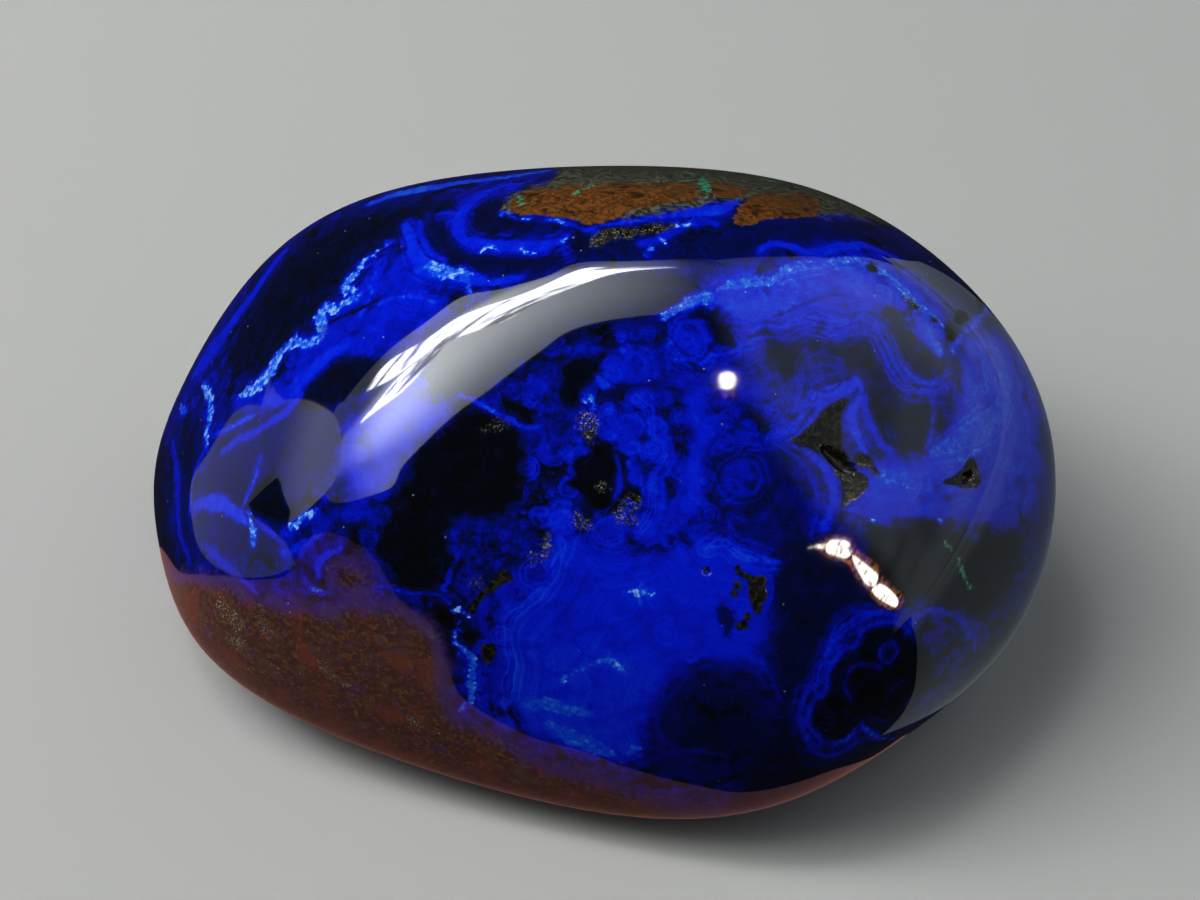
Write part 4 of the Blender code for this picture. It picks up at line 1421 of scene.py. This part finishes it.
def hang(name, faces, made, lights_things=True):
    """Links a card of these faces; a corner's fourth value, if any, is its share of the light.

    A card that lights nothing is only seen in the polish.
    """
    shape = bmesh.new()
    layer = shape.verts.layers.float.new("share")
    for corners in faces:
        verts = [shape.verts.new(corner[:3]) for corner in corners]
        for vert, corner in zip(verts, corners):
            vert[layer] = corner[3] if len(corner) > 3 else 1.0
        shape.faces.new(verts)
    bmesh.ops.triangulate(shape, faces=shape.faces)
    card_mesh = bpy.data.meshes.new(name)
    shape.to_mesh(card_mesh)
    shape.free()
    card_mesh.materials.append(made)
    card = bpy.data.objects.new(name, card_mesh)
    card.visible_camera = False
    card.visible_shadow = False
    card.visible_diffuse = lights_things
    bpy.context.scene.collection.objects.link(card)


def stations(line, share, count=16):
    """This many points spread evenly along a line, each with this share of the light."""
    line = np.array(line)
    gone = np.append(0, np.cumsum(np.linalg.norm(np.diff(line, axis=0), axis=1)))
    even = np.linspace(0, gone[-1], count)
    return [(*point, share) for point in np.column_stack([np.interp(even, gone, axis) for axis in line.T])]


def strip(one, other):
    """Four-cornered faces between two lines of stations."""
    return [(a, b, d, c) for a, b, c, d in zip(one[:-1], one[1:], other[:-1], other[1:])]


def at_height(outline, height):
    """One face from an outline with its corners rounded off, level at this height."""
    return [[(x, y, height) for x, y in rounded(outline, True)]]


print("stations on each long edge:", len(stations(((0, 0, 0), (1, 0, 0)), 1.0)))

# %% [markdown]
# ## Where a card hangs
#
# The outline of each reflection is drawn through the camera, as the markings are. A line of sight
# meets the polish, bounces off it and reaches the card that has to be seen there. So the corner of
# a card is the place where the bounced line meets the plane or the dome that the card hangs in.

# %% Follow a line of sight off the polish
FLOOR_CARD_HEIGHT = 0.001  # m, so that a card on the floor lies just above the paper
WALL_DOME, GLOW_DOME, BULB_DOME = 0.620, 0.610, 0.600  # m from the heart of the stone


def bounced(pixels):
    """The places where the sight lines meet the polish, in m, and the directions they leave in."""
    spots = seen_at(pixels)
    sight = spots - eye
    sight /= np.linalg.norm(sight, axis=1, keepdims=True)
    outward = normals_at(spots)
    away = sight - 2 * (sight * outward).sum(1, keepdims=True) * outward
    return spots * MM + np.array(heart), away


def on_plane(pixels, axis, place):
    """Corners in the plane where this axis has this value, in m, and never under the floor."""
    starts, away = bounced(pixels)
    corners = starts + away * ((place - starts[:, axis]) / away[:, axis])[:, None]
    corners[:, 2] = np.maximum(corners[:, 2], 0)
    return [tuple(corner) for corner in corners]


def on_floor(pixels):
    """Corners on the floor as x and y, in m."""
    return [corner[:2] for corner in on_plane(pixels, 2, FLOOR_CARD_HEIGHT)]


def on_dome(pixels, radius):
    """Corners on a dome round the heart, in m."""
    starts, away = bounced(pixels)
    off = starts - np.array(heart)
    lead = (off * away).sum(1)
    reach = np.sqrt(lead**2 - (off**2).sum(1) + radius**2) - lead
    return [tuple(corner) for corner in starts + away * reach[:, None]]


def foot(corner):
    """The place on the floor below a corner."""
    return (corner[0], corner[1], 0.0)


print("bounced off the middle:", bounced(HEART_PIXEL)[1].round(2))

# %% The window overhead, drawn as its reflection
CURTAIN_HEIGHT, STREAK_HEIGHT = 0.612, 0.600  # m
CURTAIN = (  # pixels
    (330, 423), (345, 400), (361, 380), (387, 352), (425, 323), (462, 297), (502, 289), (545, 277),
    (579, 263), (645, 261), (725, 261), (724, 272), (711, 285), (698, 299), (670, 313), (574, 329),
    (539, 352), (490, 389), (445, 423), (404, 464), (382, 492), (330, 501),
)
STREAK = (  # pixels, the gap between two curtains, torn into two tongues at its far end
    (367, 389), (387, 363), (425, 340), (459, 317), (508, 299), (542, 286), (582, 269), (617, 267),
    (671, 267), (671, 268), (617, 273), (582, 284), (559, 293), (531, 306), (502, 322), (459, 337),
    (445, 346), (425, 369), (402, 392), (379, 409), (360, 423), (382, 396), (404, 372), (429, 355),
    (425, 355), (393, 378), (371, 389),
)
print("corners of the window:", len(CURTAIN), "and of the gap:", len(STREAK))

# %% Hang the window
curtain_light, curtain_strength = glowing("net_curtain", "#f0f6f3")
spot = add("ShaderNodeTexCoord", {}, "Object")
apart = add("ShaderNodeSeparateXYZ", {0: spot}).node
east, north = apart.outputs["X"], apart.outputs["Y"]
near_side = add(RANGE, {0: north, 1: -0.22, 2: -0.01, 3: 0.22, 4: 1.0}, **SOFT)
far_side = add(RANGE, {0: north, 1: 0.09, 2: 0.15, 3: 1.0, 4: 0.3}, **SOFT)
right_end = add(RANGE, {0: east, 1: -0.42, 2: 0.04, 3: 1.0, 4: 0.04})
left_end = add(RANGE, {0: east, 1: -0.9, 2: -0.5, 3: 0.18, 4: 1.0}, **SOFT)
WINDOW_STRENGTH = 9.4
strength = WINDOW_STRENGTH
for share in (near_side, far_side, right_end, left_end):
    strength = add("ShaderNodeMath", {0: share, 1: strength}, operation="MULTIPLY")
tree.links.new(strength, curtain_strength)
window = [corner[:2] for corner in on_plane(CURTAIN, 2, CURTAIN_HEIGHT)]
hang("net_curtain", at_height(window, CURTAIN_HEIGHT), curtain_light)
streak_light, streak_strength = glowing("curtain_gap", "#f8faff")
spot = add("ShaderNodeTexCoord", {}, "Object")
stretched = add("ShaderNodeVectorMath", {0: spot, 1: (4.5, 30.0, 1.0)}, operation="MULTIPLY")
folds = add("ShaderNodeTexNoise", {"Vector": stretched, "Scale": 1.0, "Detail": 4.0, "Roughness": 0.6})
tree.links.new(add(RANGE, {0: folds, 1: 0.40, 2: 0.53, 3: 3.0, 4: 24.0}, **SOFT), streak_strength)
gap = [corner[:2] for corner in on_plane(STREAK, 2, STREAK_HEIGHT)]
hang("curtain_gap", at_height(gap, STREAK_HEIGHT), streak_light)
print("window above the floor, m:", CURTAIN_HEIGHT)

# %% The walls to the right and to the left, drawn as their reflections
RIGHT_FADE = (  # pixels, where the light starts
    (676, 262), (690, 277), (695, 300), (705, 330), (720, 360), (728, 385), (733, 420), (748, 445),
    (775, 480), (795, 510), (838, 535), (858, 550), (872, 570), (893, 605),
)
RIGHT_FULL = (  # pixels, where it is full
    (697, 263), (716, 278), (735, 300), (750, 325), (765, 355), (775, 375), (785, 410), (800, 432),
    (825, 460), (835, 495), (862, 520), (880, 532), (895, 552), (912, 595),
)
RIGHT_BACK = ((703, 262), (720, 260), (740, 258), (780, 257), (830, 258), (870, 258))
RIGHT_NEAR = (  # pixels, the apron's edge towards the face, outward from the stone
    (880, 737), (892, 726), (903, 713), (909, 702), (914, 690), (916, 677), (917, 663), (917, 648),
    (915, 633), (912, 626),
)
RIGHT_CORNERS = ((0.300, -0.180), (0.530, -0.340), (0.600, 0.0), (0.520, 0.400), (0.304, 0.530))  # m
RIGHT_FAR = (  # pixels, its edge towards the rim, back to the stone
    (890, 259), (909, 261), (925, 264), (965, 291), (988, 318), (1008, 350), (1030, 400), (1036, 425),
    (1040, 450), (1038, 500), (1022, 555), (1000, 600), (986, 625), (963, 663), (942, 684), (921, 701),
    (900, 720),
)
LEFT_AWAY = -0.45  # m, the upright plane of the left wall
LEFT_WALL = (
    (262, 405), (280, 400), (300, 399), (318, 404), (334, 415), (340, 430), (341, 450), (338, 470),
    (332, 485), (318, 500), (305, 512), (290, 522), (290, 510), (284, 496), (280, 482), (272, 473),
    (264, 476), (256, 488), (248, 500), (243, 510),
)
LEFT_KERB = ((243, 510), (255, 518), (270, 528), (285, 542), (292, 557), (285, 570))
LEFT_EDGE = (  # pixels, the edge of the left apron
    (262, 405), (255, 405), (248, 405), (235, 412), (222, 430), (210, 450), (200, 465), (192, 480),
    (190, 500), (192, 520), (196, 540), (205, 557), (222, 570), (240, 577), (262, 577), (277, 574),
    (285, 570),
)
print("corners of the two walls:", len(RIGHT_FADE + RIGHT_FULL + RIGHT_BACK + LEFT_WALL))

# %% Hang the two walls and their aprons
wall_light, wall_strength = glowing("right_wall", "#dfecf2")
spot = add("ShaderNodeTexCoord", {}, "Object")
LAMP_ON_WALL = (0.33, 0.16, 0.40)  # m, the middle of a brighter place on the right wall
lamp_off = add("ShaderNodeVectorMath", {0: spot, 1: LAMP_ON_WALL}, "Value", operation="DISTANCE")
patches = add("ShaderNodeTexNoise", {"Vector": spot, "Scale": 5.0, "Detail": 2.0})
lamp = add(RANGE, {0: lamp_off, 1: 0.06, 2: 0.28, 3: 0.55, 4: 0.0}, **SOFT)
calm = add(RANGE, {0: patches, 1: 0.35, 2: 0.65, 3: 0.32, 4: 0.55}, **SOFT)
strength = add("ShaderNodeMath", {0: lamp, 1: calm}, operation="ADD")
near_stone = add(
    RANGE,
    {
        0: add("ShaderNodeVectorMath", {0: spot}, "Value", operation="LENGTH"),
        1: 0.04,
        2: 0.20,
        3: 0.4,
        4: 1.0,
    },
    **SOFT,
)
strength = add("ShaderNodeMath", {0: strength, 1: near_stone}, operation="MULTIPLY")
share = add(
    RANGE, {0: add("ShaderNodeAttribute", {}, "Fac", attribute_name="share"), 1: 0.0, 2: 1.0}, **SOFT
)
tree.links.new(add("ShaderNodeMath", {0: strength, 1: share}, operation="MULTIPLY"), wall_strength)
edges = []
for pixels, lit in ((RIGHT_FADE, 0.0), (RIGHT_FULL, 1.0), (RIGHT_BACK, 1.0)):
    corners = on_dome(pixels, WALL_DOME)
    edges.append(stations(corners + [foot(corners[-1])], lit))
fade, full, back = edges
hang("right_wall", strip(fade, full) + strip(full, back), wall_light)
apron = on_floor(RIGHT_NEAR) + list(RIGHT_CORNERS) + on_floor(RIGHT_FAR)
hang("right_apron", at_height(apron, FLOOR_CARD_HEIGHT), wall_light, False)
left_light, left_strength = glowing("left_wall", "#eef0e8")
spot = add("ShaderNodeTexCoord", {}, "Object")
height = add("ShaderNodeSeparateXYZ", {0: spot}, "Z")
tree.links.new(add(RANGE, {0: height, 1: 0.05, 2: 0.20, 3: 0.3, 4: 1.3}, **SOFT), left_strength)
for name, outline in (("left_wall", LEFT_WALL), ("left_kerb", LEFT_KERB)):
    sides = [corner[1:] for corner in on_plane(outline, 0, LEFT_AWAY)]
    hang(name, [[(LEFT_AWAY, y, z) for y, z in rounded(sides, True)]], left_light)
far_foot, near_foot = (corner[:2] for corner in on_plane((LEFT_WALL[0], LEFT_KERB[-1]), 0, LEFT_AWAY))
apron = [far_foot] + on_floor(LEFT_EDGE) + [near_foot]
hang("left_apron", at_height(apron, FLOOR_CARD_HEIGHT), left_light, False)
print("left wall, m from the stone:", -LEFT_AWAY)

# %% A warm card low in front, with a flap that stands up at its left end
WARM_OUTER = (  # pixels, the edge away from the middle
    (150, 552), (180, 573), (200, 575), (215, 576), (230, 577), (262, 580), (285, 576), (291, 569),
)
WARM_INNER = (  # pixels, the edge towards the face, back to the stone
    (391, 587), (395, 593), (400, 600), (425, 620), (440, 645), (452, 680), (470, 705), (530, 738),
    (581, 752), (619, 766), (663, 779), (700, 787), (736, 793), (768, 790), (800, 782), (834, 770),
    (872, 757), (905, 744),
)
WARM_FLAP = (  # pixels
    (298, 562), (303, 545), (315, 534), (330, 532), (345, 537), (365, 548), (380, 565), (390, 585),
)
WARM_CORNER = (-0.450, -0.424)  # m
UNDER_STONE = ((0.0, -0.009), (-0.020, -0.004))  # m, where the card's edge closes under the stone
WARM_HEIGHT = 0.0012  # m, just above the apron beside it
warm_light, warm_strength = glowing("warm_card", "#c9897f")
spot = add("ShaderNodeTexCoord", {}, "Object")
away = add("ShaderNodeVectorMath", {0: spot}, "Value", operation="LENGTH")
strength = add(
    "ShaderNodeMath",
    {
        0: add(RANGE, {0: away, 1: 0.025, 2: 0.05, 3: 0.34, 4: 0.62}, **SOFT),
        1: add(RANGE, {0: away, 1: 0.08, 2: 0.25, 3: 1.0, 4: 0.55}, **SOFT),
    },
    operation="MULTIPLY",
)
tree.links.new(strength, warm_strength)
flap = on_dome(WARM_FLAP, WALL_DOME)
flap = [foot(flap[0]), *flap, foot(flap[-1])]
outline = on_floor(WARM_OUTER) + [flap[0][:2], WARM_CORNER, flap[-1][:2]] + on_floor(WARM_INNER)
hang("warm_card", at_height(outline + list(UNDER_STONE), WARM_HEIGHT), warm_light, False)
hang("warm_flap", [flap], warm_light, False)
print("warm card, corners:", len(outline))

# %% Two small lamps: a row of three bulbs with a tail, and a spark, each in a dim orange glow
BULBS = (  # pixels
    ((830, 541), (838, 540), (848, 542), (852, 552), (846, 558), (836, 556), (828, 553), (826, 548)),
    ((852, 555), (860, 560), (870, 568), (878, 576), (874, 586), (866, 584), (860, 574), (855, 565)),
    ((872, 590), (880, 584), (890, 590), (898, 600), (896, 607), (888, 604), (878, 598)),
    ((808, 548), (816, 545), (829, 544), (828, 549), (816, 548)),
    ((727, 371), (733, 373), (736, 380), (733, 387), (727, 389), (721, 387), (719, 380), (721, 374)),
)
GLOWS = (  # pixels
    ((820, 548), (828, 537), (840, 535), (852, 540), (858, 550), (866, 556), (878, 566), (886, 580),
     (896, 588), (904, 600), (898, 610), (886, 608), (872, 598), (866, 588), (856, 578), (848, 564),
     (834, 560), (824, 556)),
    ((717, 386), (720, 389), (719, 393), (716, 391)),
    ((724, 391), (728, 393), (726, 397), (722, 395)),
    ((731, 390), (735, 392), (733, 396)),
)
print("bulbs:", len(BULBS), "glows:", len(GLOWS))

# %% Hang the lamps, and dim the rest of the room
bulb_light, bulb_strength = glowing("lamp", "#fff0dc")
spot = add("ShaderNodeTexCoord", {}, "Object")
frosted = add("ShaderNodeTexNoise", {"Vector": spot, "Scale": 60.0, "Detail": 4.0, "Roughness": 0.7})
tree.links.new(add(RANGE, {0: frosted, 1: 0.36, 2: 0.48, 3: 2.0, 4: 30.0}, **SOFT), bulb_strength)
glow_light, glow_strength = glowing("lamp_glow", "#ff8a3c")
spot = add("ShaderNodeTexCoord", {}, "Object")
frosted = add("ShaderNodeTexNoise", {"Vector": spot, "Scale": 90.0, "Detail": 4.0, "Roughness": 0.8})
tree.links.new(add(RANGE, {0: frosted, 1: 0.44, 2: 0.70, 3: 0.0, 4: 8.0}, **SOFT), glow_strength)
for number, bulb in enumerate(BULBS):
    rim = rounded(on_dome(bulb, BULB_DOME), True)
    hang(f"bulb_{number + 1}", [[tuple(corner) for corner in rim]], bulb_light, False)
for number, glow in enumerate(GLOWS):
    rim = rounded(on_dome(glow, GLOW_DOME), True)
    hang(f"glow_{number + 1}", [[tuple(corner) for corner in rim]], glow_light, False)

DIM_ROOM = (0.012, 0.012, 0.013, 1)
world = bpy.data.worlds.new("studio")
world.use_nodes = True
world.node_tree.nodes["Background"].inputs["Color"].default_value = DIM_ROOM
bpy.context.scene.world = world
bpy.context.scene.view_settings.view_transform = "Standard"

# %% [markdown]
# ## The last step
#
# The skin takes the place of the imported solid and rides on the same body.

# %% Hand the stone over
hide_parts("azurite_stone")
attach(stone, "root")
